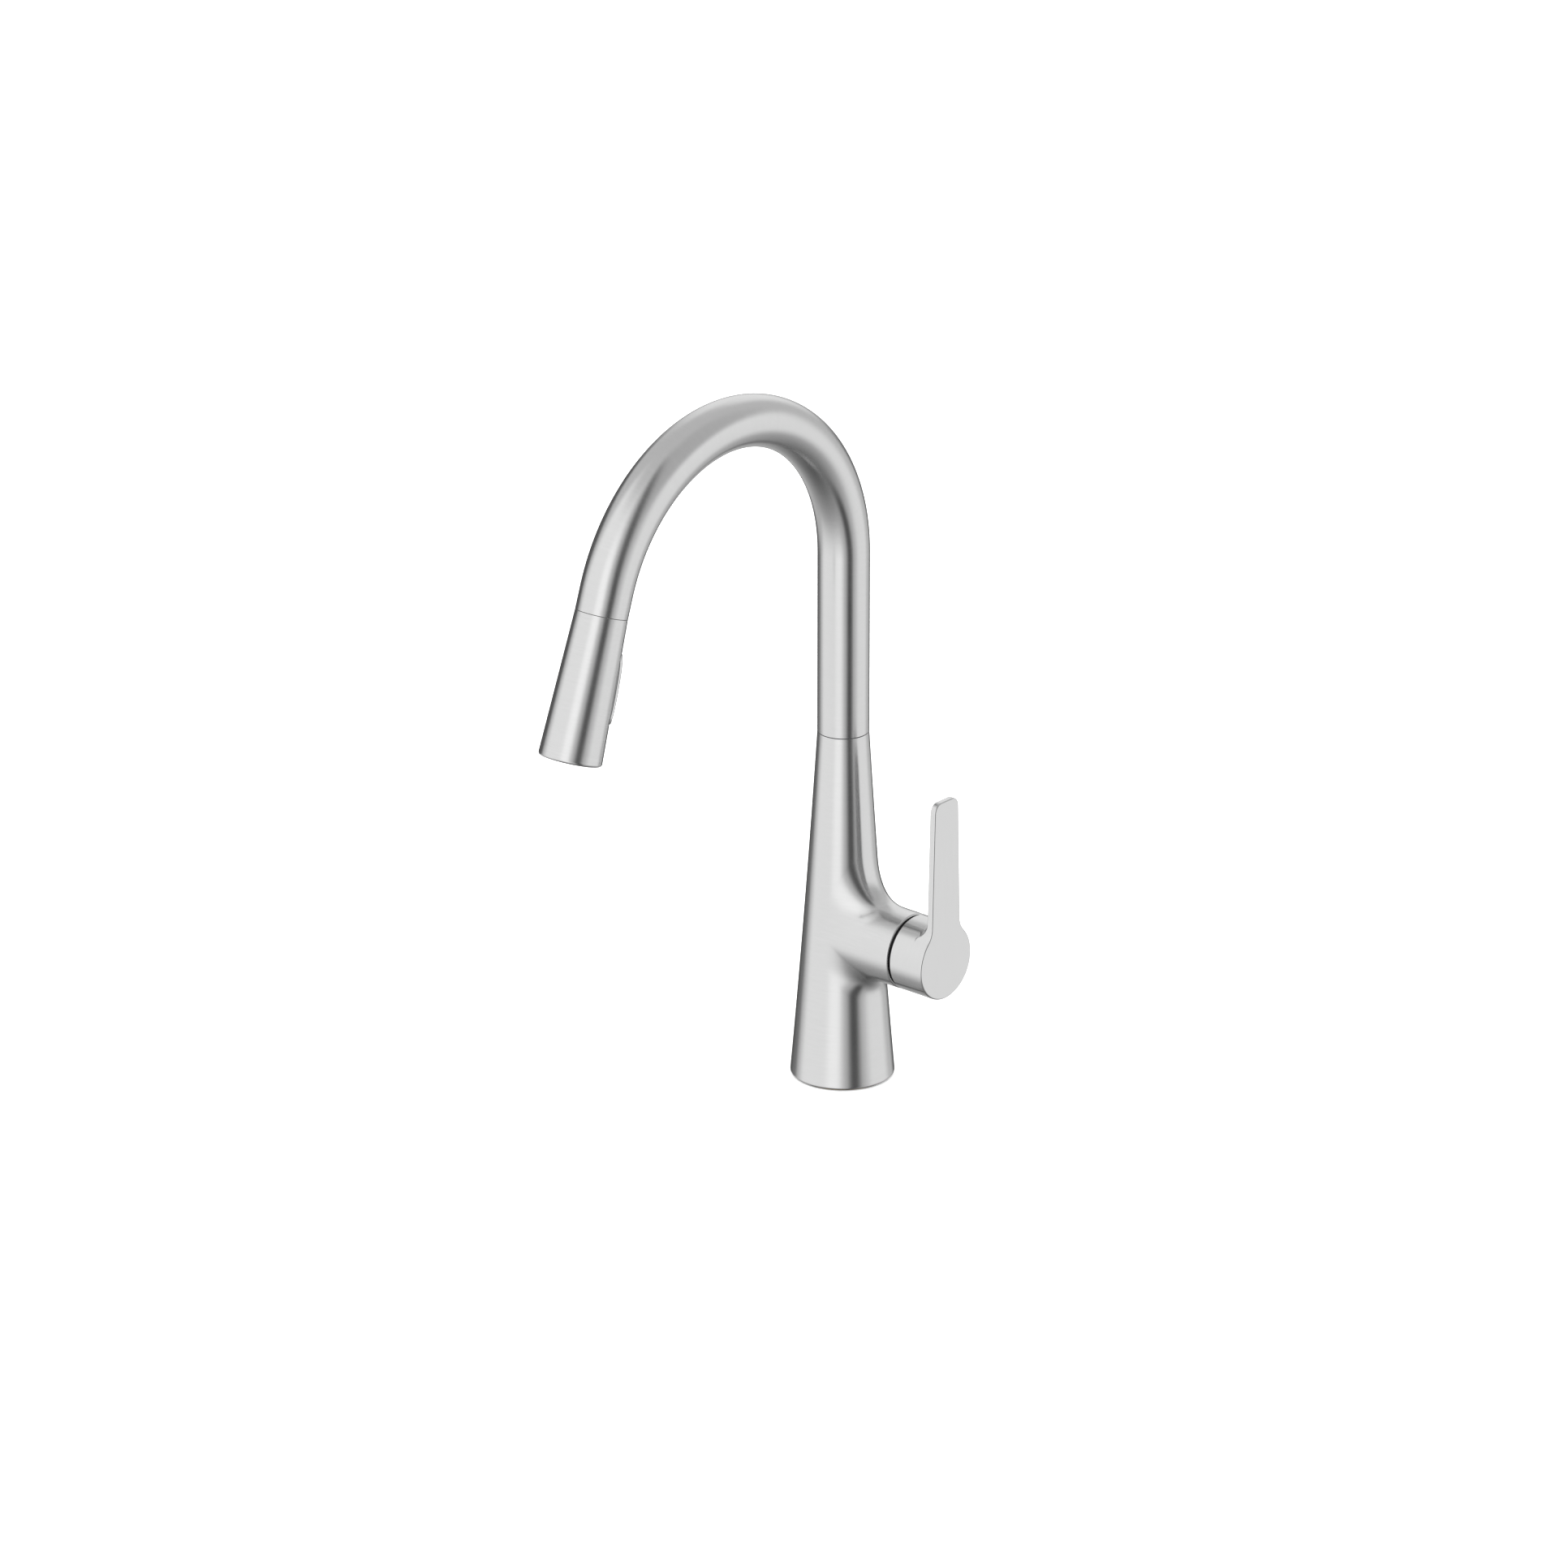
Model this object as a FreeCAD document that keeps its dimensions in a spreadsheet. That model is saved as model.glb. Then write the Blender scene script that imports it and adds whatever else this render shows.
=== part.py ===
import FreeCAD, Part
import os
import Sketcher
from FreeCAD import Vector

# Pull-down kitchen mixer: conical body with a side cartridge boss, one bent
# spout tube that swivels on the body, a spray head docked in the spout's end,
# and a side lever.  Millimetres, +Z up.  The origin is the centre of the
# body's underside, on the deck.  The spout points along -Y and the lever's
# boss along +X.

doc = FreeCAD.newDocument("kitchen_mixer")
sheet = doc.addObject("Spreadsheet::Sheet", "Params")

P = [
    # body casting
    ("base_radius", 28.3), ("neck_radius", 14.0), ("body_height", 198.6),
    ("flare_radius", 8000.0), ("base_edge_round", 1.6),
    ("boss_radius", 21.0), ("boss_end", 48.8), ("boss_height", 83.6),
    ("boss_edge_round", 1.0), ("boss_blend", 14.0),
    ("cartridge_bore_radius", 17.6), ("seat_face", 11.0),
    ("base_bore_radius", 25.0), ("base_bore_depth", 14.0),
    ("lower_chamber_radius", 22.6), ("port_floor", 40.0), ("port_depth", 12.0),
    ("port_radius", 4.46), ("port_circle", 10.6), ("channel_radius", 2.2),
    ("hose_passage_radius", 5.3), ("upper_chamber_floor", 106.0), ("upper_chamber_radius", 10.0),
    ("neck_bore_floor", 150.0), ("neck_bore_radius", 12.6),
    # deck fixing
    ("flange_radius", 24.9), ("flange_low", 2.6), ("flange_bore", 16.7),
    ("shank_radius", 16.6), ("shank_bore_radius", 15.4), ("shank_length", 74.0), ("shank_low", -62.0),
    ("thread_pitch", 1.8), ("thread_depth", 0.7), ("thread_count", 30.0),
    ("deck_thickness", 30.0), ("washer_radius", 27.5), ("washer_bore", 16.9),
    ("washer_thick", 3.0), ("plate_thick", 2.0), ("nut_flats", 50.0), ("nut_height", 11.0),
    ("jack_circle", 21.0), ("jack_radius", 2.4), ("jack_length", 24.0), ("jack_head_radius", 4.2), ("jack_head", 4.0),
    ("flange_screw_circle", 20.8), ("flange_screw_radius", 1.9), ("flange_screw_head", 3.4),
    # spout
    ("tube_radius", 14.0), ("tube_wall", 1.3), ("seam_gap", 0.4), ("riser_top", 300.35),
    ("arch_radius", 96.8), ("arch_angle", 161.0), ("spout_tail", 12.0),
    ("adapter_radius", 11.55), ("adapter_bore", 8.2), ("adapter_low", 154.0), ("adapter_top", 216.0),
    ("bushing_bore", 11.6), ("bushing_radius", 12.55), ("bushing_length", 10.0),
    ("ring_thick", 0.9),
    ("hose_radius", 4.8), ("hose_bore_radius", 3.2), ("hose_low", -70.0), ("coupling_radius", 6.0), ("coupling_length", 24.0),
    # spray head
    ("head_length", 78.0), ("head_radius", 16.88), ("head_wall", 1.5), ("head_gap", 0.2), ("head_edge_round", 1.6),
    ("sleeve_top", 14.0), ("sleeve_top_radius", 9.5), ("sleeve_low_radius", 11.6), ("collar_clear", 0.4),
    ("magnet_thick", 3.6), ("hose_nut_length", 12.0), ("hose_nut_radius", 6.2),
    ("button_width", 10.4), ("button_length", 38.0), ("button_mid", 37.0), ("button_proud", 1.6),
    ("button_turn", 43.0), ("button_clear", 0.45), ("button_inner", 9.3), ("button_pivot", 10.8), ("pin_radius", 1.2),
    ("spool_radius", 3.6), ("spool_length", 16.0), ("core_bore", 4.0),
    ("face_depth", 1.2), ("face_thick", 4.0), ("aerator_radius", 7.0),
    ("nozzle_circle_a", 9.6), ("nozzle_circle_b", 12.8), ("nozzle_radius", 0.85), ("nozzle_length", 1.3),
    # cartridge
    ("cart_radius", 17.4), ("cart_base_thick", 4.0), ("fixed_disc_thick", 3.5), ("disc_radius", 14.5),
    ("moving_disc_thick", 4.5), ("moving_disc_radius", 10.8), ("cart_end", 38.0), ("cart_inner", 15.6),
    ("lift_pivot", 33.5), ("rotor_low", 27.0), ("rotor_top", 44.0), ("rotor_radius", 14.2), ("rotor_neck", 12.6),
    ("stem_width", 8.0), ("stem_top", 66.0), ("stem_tip", 22.0), ("stem_tip_radius", 1.7),
    ("bonnet_low", 38.1), ("bonnet_high", 45.5), ("bonnet_bore", 13.6), ("trim_step", 48.5), ("trim_high", 51.4), ("trim_lip_radius", 17.5), ("trim_lip_bore", 16.7),
    # handle
    ("hub_radius", 20.9), ("hub_low", 50.5), ("hub_high", 72.6), ("hub_inner", 19.4), ("hub_floor", 66.5),
    ("hub_edge_round", 0.7), ("socket_radius", 8.2), ("socket_low", 54.5),
    ("blade_thick", 3.6), ("blade_half_low", 12.3), ("blade_half_top", 9.7), ("blade_rise", 93.3),
    ("blade_corner", 5.5), ("blade_blend", 12.0), ("cove_radius", 6.0),
    ("grub_radius", 2.4), ("grub_length", 8.0), ("grub_x", 60.0), ("plug_radius", 3.2),
]
names = {}
for i, (alias, value) in enumerate(P):
    cell = "B%d" % (i + 1)
    sheet.set("A%d" % (i + 1), alias)
    sheet.set(cell, str(value))
    sheet.setAlias(cell, alias)
    names[alias] = value
doc.recompute()


def E(text):
    """Turn a short formula of alias names into an expression on the sheet."""
    out, word = "", ""
    for ch in text + " ":
        if ch.isalnum() or ch == "_":
            word += ch
        else:
            out += ("Params." + word) if word in names else word
            out += ch
            word = ""
    return out.strip()


def num(text):
    """The same formula's value with the sheet's present numbers."""
    total = sheet_value(text)
    return total


def sheet_value(text):
    # formulas here are sums and products of aliases and numbers
    tokens, word = [], ""
    for ch in text + " ":
        if ch.isalnum() or ch in "_.":
            word += ch
        else:
            if word:
                tokens.append(float(names[word]) if word in names else float(word))
                word = ""
            if ch in "+-*/()":
                tokens.append(ch)
    pos = [0]

    def factor():
        tok = tokens[pos[0]]
        pos[0] += 1
        if tok == "(":
            val = expr()
            pos[0] += 1
            return val
        if tok == "-":
            return -factor()
        return tok

    def term():
        val = factor()
        while pos[0] < len(tokens) and tokens[pos[0]] in ("*", "/"):
            op = tokens[pos[0]]
            pos[0] += 1
            rhs = factor()
            val = val * rhs if op == "*" else val / rhs
        return val

    def expr():
        val = term()
        while pos[0] < len(tokens) and tokens[pos[0]] in ("+", "-"):
            op = tokens[pos[0]]
            pos[0] += 1
            rhs = term()
            val = val + rhs if op == "+" else val - rhs
        return val
    return expr()


parts = []


def plane(body, role):
    return [o for o in body.Origin.OriginFeatures if o.Role == role][0]


def new_body(label):
    body = doc.addObject("PartDesign::Body", label)
    body.Label = label
    parts.append(body)
    return body


def sketch_on(body, role, name):
    sk = body.newObject("Sketcher::SketchObject", name)
    sk.AttachmentSupport = [(plane(body, role), "")]
    sk.MapMode = "FlatFace"
    return sk


def pin_point(sk, geo, end, fx, fy):
    """Hold a sketch point at (fx, fy), both formulas of the sheet."""
    x, y = sheet_value(fx), sheet_value(fy)
    if abs(x) < 1e-9:
        sk.addConstraint(Sketcher.Constraint("PointOnObject", geo, end, -2))
    else:
        i = sk.addConstraint(Sketcher.Constraint("DistanceX", -1, 1, geo, end, x))
        sk.setExpression("Constraints[%d]" % i, E(fx))
    if abs(y) < 1e-9:
        sk.addConstraint(Sketcher.Constraint("PointOnObject", geo, end, -1))
    else:
        i = sk.addConstraint(Sketcher.Constraint("DistanceY", -1, 1, geo, end, y))
        sk.setExpression("Constraints[%d]" % i, E(fy))


def polygon(sk, pts, arcs={}):
    """Closed outline; arcs maps an edge index to (radius formula, centre)."""
    n = len(pts)
    xy = [Vector(sheet_value(a), sheet_value(b), 0) for a, b in pts]
    first = sk.GeometryCount
    for i in range(n):
        a, b = xy[i], xy[(i + 1) % n]
        if i in arcs:
            formula, side = arcs[i]
            rad = sheet_value(formula)
            mid = (a + b) * 0.5
            half = (b - a).Length / 2
            nrm = Vector(-(b - a).y, (b - a).x, 0)
            nrm.normalize()
            cen = mid + nrm * (side * (rad * rad - half * half) ** 0.5)
            ref = Vector(1, 0, 0)
            import math
            aa = math.atan2(a.y - cen.y, a.x - cen.x)
            ab = math.atan2(b.y - cen.y, b.x - cen.x)
            circ = Part.Circle(cen, Vector(0, 0, 1), rad)
            # shortest way round, counter-clockwise in the sketch
            if (ab - aa) % (2 * math.pi) < math.pi:
                sk.addGeometry(Part.ArcOfCircle(circ, aa, ab), False)
                sk_ends[(sk.Name, first + i)] = (1, 2)
            else:
                sk.addGeometry(Part.ArcOfCircle(circ, ab, aa), False)
                sk_ends[(sk.Name, first + i)] = (2, 1)
        else:
            sk.addGeometry(Part.LineSegment(a, b), False)
            sk_ends[(sk.Name, first + i)] = (1, 2)
    for i in range(n):
        g, h = first + i, first + (i + 1) % n
        sk.addConstraint(Sketcher.Constraint("Coincident", g, sk_ends[(sk.Name, g)][1], h, sk_ends[(sk.Name, h)][0]))
    for i in range(n):
        pin_point(sk, first + i, sk_ends[(sk.Name, first + i)][0], pts[i][0], pts[i][1])
    for i in arcs:
        k = sk.addConstraint(Sketcher.Constraint("Radius", first + i, sheet_value(arcs[i][0])))
        sk.setExpression("Constraints[%d]" % k, E(arcs[i][0]))


sk_ends = {}


def revolve(body, pts, arcs={}, name="Profile", role="XZ_Plane"):
    sk = sketch_on(body, role, name)
    polygon(sk, pts, arcs)
    rev = body.newObject("PartDesign::Revolution", "Revolve_" + name)
    rev.Profile = sk
    rev.ReferenceAxis = (sk, ["V_Axis"])
    rev.Angle = 360
    return rev


def groove(body, pts, arcs={}, name="Cut"):
    doc.recompute()
    sk = sketch_on(body, "XZ_Plane", name)
    polygon(sk, pts, arcs)
    cut = body.newObject("PartDesign::Groove", "Groove_" + name)
    cut.Profile = sk
    cut.ReferenceAxis = (sk, ["V_Axis"])
    cut.Angle = 360
    return cut


def circle_sketch(body, role, name, circles, offset=None):
    """circles: (x formula, y formula, radius formula)."""
    sk = sketch_on(body, role, name)
    for fx, fy, fr in circles:
        g = sk.addGeometry(Part.Circle(Vector(sheet_value(fx), sheet_value(fy), 0), Vector(0, 0, 1), sheet_value(fr)), False)
        pin_point(sk, g, 3, fx, fy)
        k = sk.addConstraint(Sketcher.Constraint("Radius", g, sheet_value(fr)))
        sk.setExpression("Constraints[%d]" % k, E(fr))
    if offset:
        sk.AttachmentOffset = FreeCAD.Placement(Vector(0, 0, sheet_value(offset)), FreeCAD.Rotation())
        sk.setExpression("AttachmentOffset.Base.z", "(" + E(offset) + ")*1mm")
    return sk


def pad(body, sk, length, reverse=False, symmetric=False):
    f = body.newObject("PartDesign::Pad", "Pad_" + sk.Name)
    f.Profile = sk
    f.Length = sheet_value(length)
    f.setExpression("Length", "(" + E(length) + ")*1mm")
    f.Reversed = reverse
    if symmetric:
        f.Midplane = True
    return f


def pocket(body, sk, length, reverse=False):
    doc.recompute()
    before = body.Tip.Shape.Volume
    f = body.newObject("PartDesign::Pocket", "Pocket_" + sk.Name)
    f.Profile = sk
    f.Length = sheet_value(length)
    f.setExpression("Length", "(" + E(length) + ")*1mm")
    f.Reversed = reverse
    doc.recompute()
    assert f.Shape.Volume < before - 1e-3, "pocket cuts nothing: " + body.Label + " " + sk.Name
    return f


def dress(body, kind, name, edges, key, formula):
    """Fillet or chamfer the given edges of the body's present shape."""
    base = body.Tip
    f = body.newObject("PartDesign::" + kind, name)
    f.Base = (base, edges)
    setattr(f, key, sheet_value(formula))
    f.setExpression(key, "(" + E(formula) + ")*1mm")
    body.Tip = f
    doc.recompute()
    return f


def turned(label, pts, arcs={}):
    """A turned piece: one revolved profile about its own Z axis."""
    body = new_body(label)
    revolve(body, pts, arcs)
    return body


def place_z(obj, formula):
    obj.setExpression("Placement.Base.z", "(" + E(formula) + ")*1mm")


BOSS_ROT = FreeCAD.Rotation(Vector(0, 1, 0), 90)


def on_boss(obj):
    """Local Z runs along the boss axis, +X; local origin on the body's axis."""
    obj.Placement = FreeCAD.Placement(Vector(0, 0, names["boss_height"]), BOSS_ROT)
    obj.setExpression("Placement.Base.z", "Params.boss_height*1mm")
    return obj


SEAM_Y = "-(Params.arch_radius*(1-cos(Params.arch_angle*1deg))+Params.spout_tail*sin(Params.arch_angle*1deg))*1mm"
SEAM_Z = "(Params.riser_top+Params.arch_radius*sin(Params.arch_angle*1deg)+Params.spout_tail*cos(Params.arch_angle*1deg))*1mm"


def on_head(obj, formula="0"):
    """Local Z runs out of the spout's end along the spray head, from the given distance; local -Y faces the
    button, which is turned about that axis from the column's side."""
    y = SEAM_Y[:-4] + "*1mm-sin(Params.arch_angle*1deg)*(" + E(formula) + ")*1mm"
    z = SEAM_Z[:-4] + "*1mm+cos(Params.arch_angle*1deg)*(" + E(formula) + ")*1mm"
    obj.setExpression("Placement", "placement(vector(0mm; " + y + "; " + z + "); rotation(vector(1; 0; 0); Params.arch_angle*1deg)"
                      " * rotation(vector(0; 0; 1); Params.button_turn*1deg))")
    return obj


def part_cyl(name, fr, fh, pos=("0", "0", "0"), rot=None):
    c = doc.addObject("Part::Cylinder", name)
    c.setExpression("Radius", "(" + E(fr) + ")*1mm")
    c.setExpression("Height", "(" + E(fh) + ")*1mm")
    c.Placement = FreeCAD.Placement(Vector(*[sheet_value(p) for p in pos]), rot or FreeCAD.Rotation())
    for ax, p in zip("xyz", pos):
        c.setExpression("Placement.Base." + ax, "(" + E(p) + ")*1mm")
    return c


def part_box(name, fl, fw, fh, pos):
    c = doc.addObject("Part::Box", name)
    c.setExpression("Length", "(" + E(fl) + ")*1mm")
    c.setExpression("Width", "(" + E(fw) + ")*1mm")
    c.setExpression("Height", "(" + E(fh) + ")*1mm")
    for ax, p in zip("xyz", pos):
        c.setExpression("Placement.Base." + ax, "(" + E(p) + ")*1mm")
    return c


def fuse(name, *objs):
    f = doc.addObject("Part::MultiFuse", name)
    f.Shapes = list(objs)
    return f


def cut(name, base, tool):
    f = doc.addObject("Part::Cut", name)
    f.Base, f.Tool = base, tool
    return f


def group(label, objs):
    c = doc.addObject("Part::Compound", label)
    c.Label = label
    c.Links = objs
    parts.append(c)
    return c


# ---------------------------------------------------------------- body casting
# Outside: a slightly hollow-sided cone with a rounded foot; the flare is one
# very large arc.
b = new_body("body_shell")
revolve(b, [("0", "0"), ("base_radius-base_edge_round", "0"), ("base_radius", "base_edge_round"),
            ("neck_radius", "body_height"), ("0", "body_height")],
        {1: ("base_edge_round", 1), 2: ("flare_radius", -1)}, name="Cone", role="YZ_Plane")
doc.recompute()
sk = circle_sketch(b, "YZ_Plane", "BossCircle", [("0", "boss_height", "boss_radius")])
pad(b, sk, "boss_end")
doc.recompute()
# the boss runs into the cone through one large fillet, and its rim is rounded
blend = []
for i, e in enumerate(b.Tip.Shape.Edges):
    bb = e.BoundBox
    if bb.XMin > 5 and bb.XMax < 30 and bb.ZMin > 55 and bb.ZMax < 110 and bb.ZLength > 5:
        blend.append("Edge%d" % (i + 1))
dress(b, "Fillet", "BossBlend", blend, "Radius", "boss_blend")
rim = ["Edge%d" % (i + 1) for i, e in enumerate(b.Tip.Shape.Edges)
       if abs(e.BoundBox.XMin - names["boss_end"]) < 1e-4 and abs(e.BoundBox.XMax - names["boss_end"]) < 1e-4]
dress(b, "Fillet", "BossRim", rim, "Radius", "boss_edge_round")
# inside: base bore, lower chamber, hose passage, upper chamber and neck bore
groove(b, [("0", "0"), ("base_bore_radius", "0"), ("base_bore_radius", "base_bore_depth"),
           ("lower_chamber_radius", "base_bore_depth"), ("lower_chamber_radius", "port_floor"),
           ("hose_passage_radius", "port_floor"), ("hose_passage_radius", "upper_chamber_floor"),
           ("upper_chamber_radius", "upper_chamber_floor+6"), ("upper_chamber_radius", "neck_bore_floor"),
           ("neck_bore_radius", "neck_bore_floor"), ("neck_bore_radius", "body_height"), ("0", "body_height")],
       name="Inside")
# cartridge bore, open at the boss's end
sk = circle_sketch(b, "YZ_Plane", "CartridgeBore", [("0", "boss_height", "cartridge_bore_radius")], "seat_face")
pocket(b, sk, "boss_end-seat_face+1", True)
# three ports in the port floor, tapped from below: two supplies and the mixed outlet
PORTS = [("port_circle", "0"), ("port_circle*-0.34", "port_circle*0.94"), ("port_circle*-0.34", "port_circle*-0.94")]
sk = circle_sketch(b, "XY_Plane", "Ports", [(x, y, "port_radius") for x, y in PORTS], "port_floor")
pocket(b, sk, "port_depth", True)
# rising channels, then short level ones to the cartridge seat
sk = circle_sketch(b, "XY_Plane", "Channels", [("port_circle-1.2", "0", "channel_radius")] + [(x, y, "channel_radius") for x, y in PORTS[1:]], "port_floor")
pocket(b, sk, "boss_height-5-port_floor", True)
sk = circle_sketch(b, "YZ_Plane", "SeatHoles", [("port_circle*0.94", "boss_height-6", "channel_radius"), ("port_circle*-0.94", "boss_height-6", "channel_radius")], "port_circle*-0.34")
pocket(b, sk, "seat_face+port_circle*0.34+1", True)

# ---------------------------------------------------------- deck-side pieces
turned("base_gasket", [("shank_radius+2.4", "0"), ("flange_radius-0.1", "0"), ("flange_radius-0.1", "flange_low-0.05"), ("shank_radius+2.4", "flange_low-0.05")])
b = turned("base_flange", [("flange_bore", "0"), ("flange_radius", "0"), ("flange_radius", "base_bore_depth-flange_low-0.05"), ("flange_bore", "base_bore_depth-flange_low-0.05")])
place_z(b, "flange_low")
# threaded shank: a tube with ridges at the thread's pitch
b = turned("mounting_shank", [("shank_bore_radius", "0"), ("shank_radius", "0"), ("shank_radius", "shank_length"), ("shank_bore_radius", "shank_length")])
doc.recompute()
g = groove(b, [("shank_radius-thread_depth", "thread_pitch*0.75"), ("shank_radius+0.2", "thread_pitch*0.25"), ("shank_radius+0.2", "thread_pitch*1.25")], name="Thread")
doc.recompute()
pat = b.newObject("PartDesign::LinearPattern", "ThreadRun")
pat.Originals = [g]
pat.Direction = (plane(b, "Z_Axis"), [""])
pat.Length = names["thread_pitch"] * (names["thread_count"] - 1)
pat.setExpression("Length", "Params.thread_pitch*(Params.thread_count-1)*1mm")
pat.Occurrences = int(names["thread_count"])
pat.setExpression("Occurrences", "Params.thread_count")
b.Tip = pat
place_z(b, "shank_low")
b = turned("deck_washer", [("washer_bore", "0"), ("washer_radius", "0"), ("washer_radius", "washer_thick"), ("washer_bore", "washer_thick")])
place_z(b, "-deck_thickness-washer_thick")
b = turned("clamp_plate", [("washer_bore", "0"), ("washer_radius", "0"), ("washer_radius", "plate_thick"), ("washer_bore", "plate_thick")])
place_z(b, "-deck_thickness-washer_thick-plate_thick-0.05")
# hexagonal nut with two tapped holes for the jack screws
b = new_body("mounting_nut")
sk = sketch_on(b, "XY_Plane", "Hexagon")
HEX = [("nut_flats*0.5", "nut_flats*0.288675"), ("0", "nut_flats*0.57735"), ("nut_flats*-0.5", "nut_flats*0.288675"),
       ("nut_flats*-0.5", "nut_flats*-0.288675"), ("0", "nut_flats*-0.57735"), ("nut_flats*0.5", "nut_flats*-0.288675")]
polygon(sk, HEX)
pad(b, sk, "nut_height")
sk = circle_sketch(b, "XY_Plane", "Bore", [("0", "0", "shank_radius+0.05")])
pocket(b, sk, "nut_height+1", True)
sk = circle_sketch(b, "XY_Plane", "JackHoles", [("0", "jack_circle", "jack_radius+0.05"), ("0", "-jack_circle", "jack_radius+0.05")])
pocket(b, sk, "nut_height+1", True)
place_z(b, "-deck_thickness-washer_thick-plate_thick-nut_height-3")
screws = []
for i, sgn in enumerate(("", "-")):
    s1 = part_cyl("JackShaft%d" % i, "jack_radius", "jack_length", ("0", sgn + "jack_circle", "-deck_thickness-washer_thick-plate_thick-jack_length-0.1"))
    s2 = part_cyl("JackHead%d" % i, "jack_head_radius", "jack_head", ("0", sgn + "jack_circle", "-deck_thickness-washer_thick-plate_thick-jack_length-jack_head-0.1"))
    screws.append(fuse("JackScrew%d" % i, s1, s2))
group("jack_screws", screws)

# ---------------------------------------------------------------- swivel joint
b = turned("lower_bushing", [("bushing_bore", "0"), ("bushing_radius", "0"), ("bushing_radius", "bushing_length"), ("bushing_bore", "bushing_length")])
place_z(b, "neck_bore_floor+7")
b = turned("upper_bushing", [("bushing_bore", "0"), ("bushing_radius", "0"), ("bushing_radius", "bushing_length"), ("bushing_bore", "bushing_length")])
place_z(b, "body_height-bushing_length-1.5")
# turned adapter on the spout's end: two seal grooves between the bushings
b = turned("spout_adapter", [("adapter_bore", "0"), ("adapter_radius", "0"), ("adapter_radius", "18"),
                             ("adapter_radius-1.6", "18"), ("adapter_radius-1.6", "20.4"), ("adapter_radius", "20.4"),
                             ("adapter_radius", "24"), ("adapter_radius-1.6", "24"), ("adapter_radius-1.6", "26.4"), ("adapter_radius", "26.4"),
                             ("adapter_radius", "body_height+seam_gap+0.05-adapter_low"), ("tube_radius-tube_wall-0.05", "body_height+seam_gap+0.05-adapter_low"),
                             ("tube_radius-tube_wall-0.05", "adapter_top-adapter_low"), ("adapter_bore", "adapter_top-adapter_low")])
place_z(b, "adapter_low")
rings = []
for i, zz in enumerate(("18", "24")):
    o1 = part_cyl("RingOuter%d" % i, "neck_bore_radius-0.15", "2.2", ("0", "0", "adapter_low+" + zz + "+0.1"))
    o2 = part_cyl("RingInner%d" % i, "adapter_radius-1.55", "2.2", ("0", "0", "adapter_low+" + zz + "+0.1"))
    rings.append(cut("Ring%d" % i, o1, o2))
group("swivel_seals", rings)
b = turned("swivel_clip", [("adapter_bore+0.4", "0"), ("neck_bore_radius-0.4", "0"), ("neck_bore_radius-0.4", "1.2"), ("adapter_bore+0.4", "1.2")])
place_z(b, "adapter_low-1.25")
b = turned("swivel_washer", [("adapter_radius+0.05", "0"), ("neck_radius-0.35", "0"), ("neck_radius-0.35", "seam_gap-0.08"), ("adapter_radius+0.05", "seam_gap-0.08")])
place_z(b, "body_height+0.05")

# ------------------------------------------------------------------ spout tube
def spine(sk, low, high_z, radius, angle, tail):
    """Riser, arch and straight end as one tangent path in the YZ plane."""
    import math
    R, th, T = sheet_value(radius), math.radians(sheet_value(angle)), sheet_value(tail)
    z0, z1 = sheet_value(low), sheet_value(high_z)
    cen = Vector(-R, z1, 0)
    end = Vector(-R + R * math.cos(th), z1 + R * math.sin(th), 0)
    tip = end + Vector(-math.sin(th), math.cos(th), 0) * T
    sk.addGeometry(Part.LineSegment(Vector(0, z0, 0), Vector(0, z1, 0)), False)
    sk.addGeometry(Part.ArcOfCircle(Part.Circle(cen, Vector(0, 0, 1), R), 0, th), False)
    sk.addGeometry(Part.LineSegment(end, tip), False)
    C = Sketcher.Constraint
    sk.addConstraint(C("Coincident", 0, 2, 1, 1))
    sk.addConstraint(C("Coincident", 1, 2, 2, 1))
    sk.addConstraint(C("PointOnObject", 0, 1, -2))
    sk.addConstraint(C("Vertical", 0))
    k = sk.addConstraint(C("DistanceY", -1, 1, 0, 1, z0)); sk.setExpression("Constraints[%d]" % k, E(low))
    k = sk.addConstraint(C("DistanceY", -1, 1, 0, 2, z1)); sk.setExpression("Constraints[%d]" % k, E(high_z))
    k = sk.addConstraint(C("Radius", 1, R)); sk.setExpression("Constraints[%d]" % k, E(radius))
    k = sk.addConstraint(C("Horizontal", 1, 3, 1, 1))
    k = sk.addConstraint(C("Angle", 1, th)); sk.setExpression("Constraints[%d]" % k, E(angle) + "*1deg")
    k = sk.addConstraint(C("Perpendicular", 1, 3, 1, 2, 2, 2)) if False else None
    k = sk.addConstraint(C("Tangent", 1, 2, 2, 1)) if False else None
    k = sk.addConstraint(C("DistanceX", -1, 1, 2, 2, tip.x))
    sk.setExpression("Constraints[%d]" % k, "-(Params.arch_radius*(1-cos(Params.arch_angle*1deg))+(" + E(tail) + ")*sin(Params.arch_angle*1deg))")
    k = sk.addConstraint(C("DistanceY", -1, 1, 2, 2, tip.y))
    sk.setExpression("Constraints[%d]" % k, "Params.riser_top+Params.arch_radius*sin(Params.arch_angle*1deg)+(" + E(tail) + ")*cos(Params.arch_angle*1deg)")


def bent_tube(label, outer, bore, low, tail):
    body = new_body(label)
    path = sketch_on(body, "YZ_Plane", "Path")
    spine(path, low, "riser_top", "arch_radius", "arch_angle", tail)
    ring = circle_sketch(body, "XY_Plane", "Section", [("0", "0", outer), ("0", "0", bore)], low)
    pipe = body.newObject("PartDesign::AdditivePipe", "Sweep")
    pipe.Profile = ring
    pipe.Spine = path
    body.Tip = pipe
    return body


bent_tube("spout_tube", "tube_radius", "tube_radius-tube_wall", "body_height+seam_gap", "spout_tail")
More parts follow.
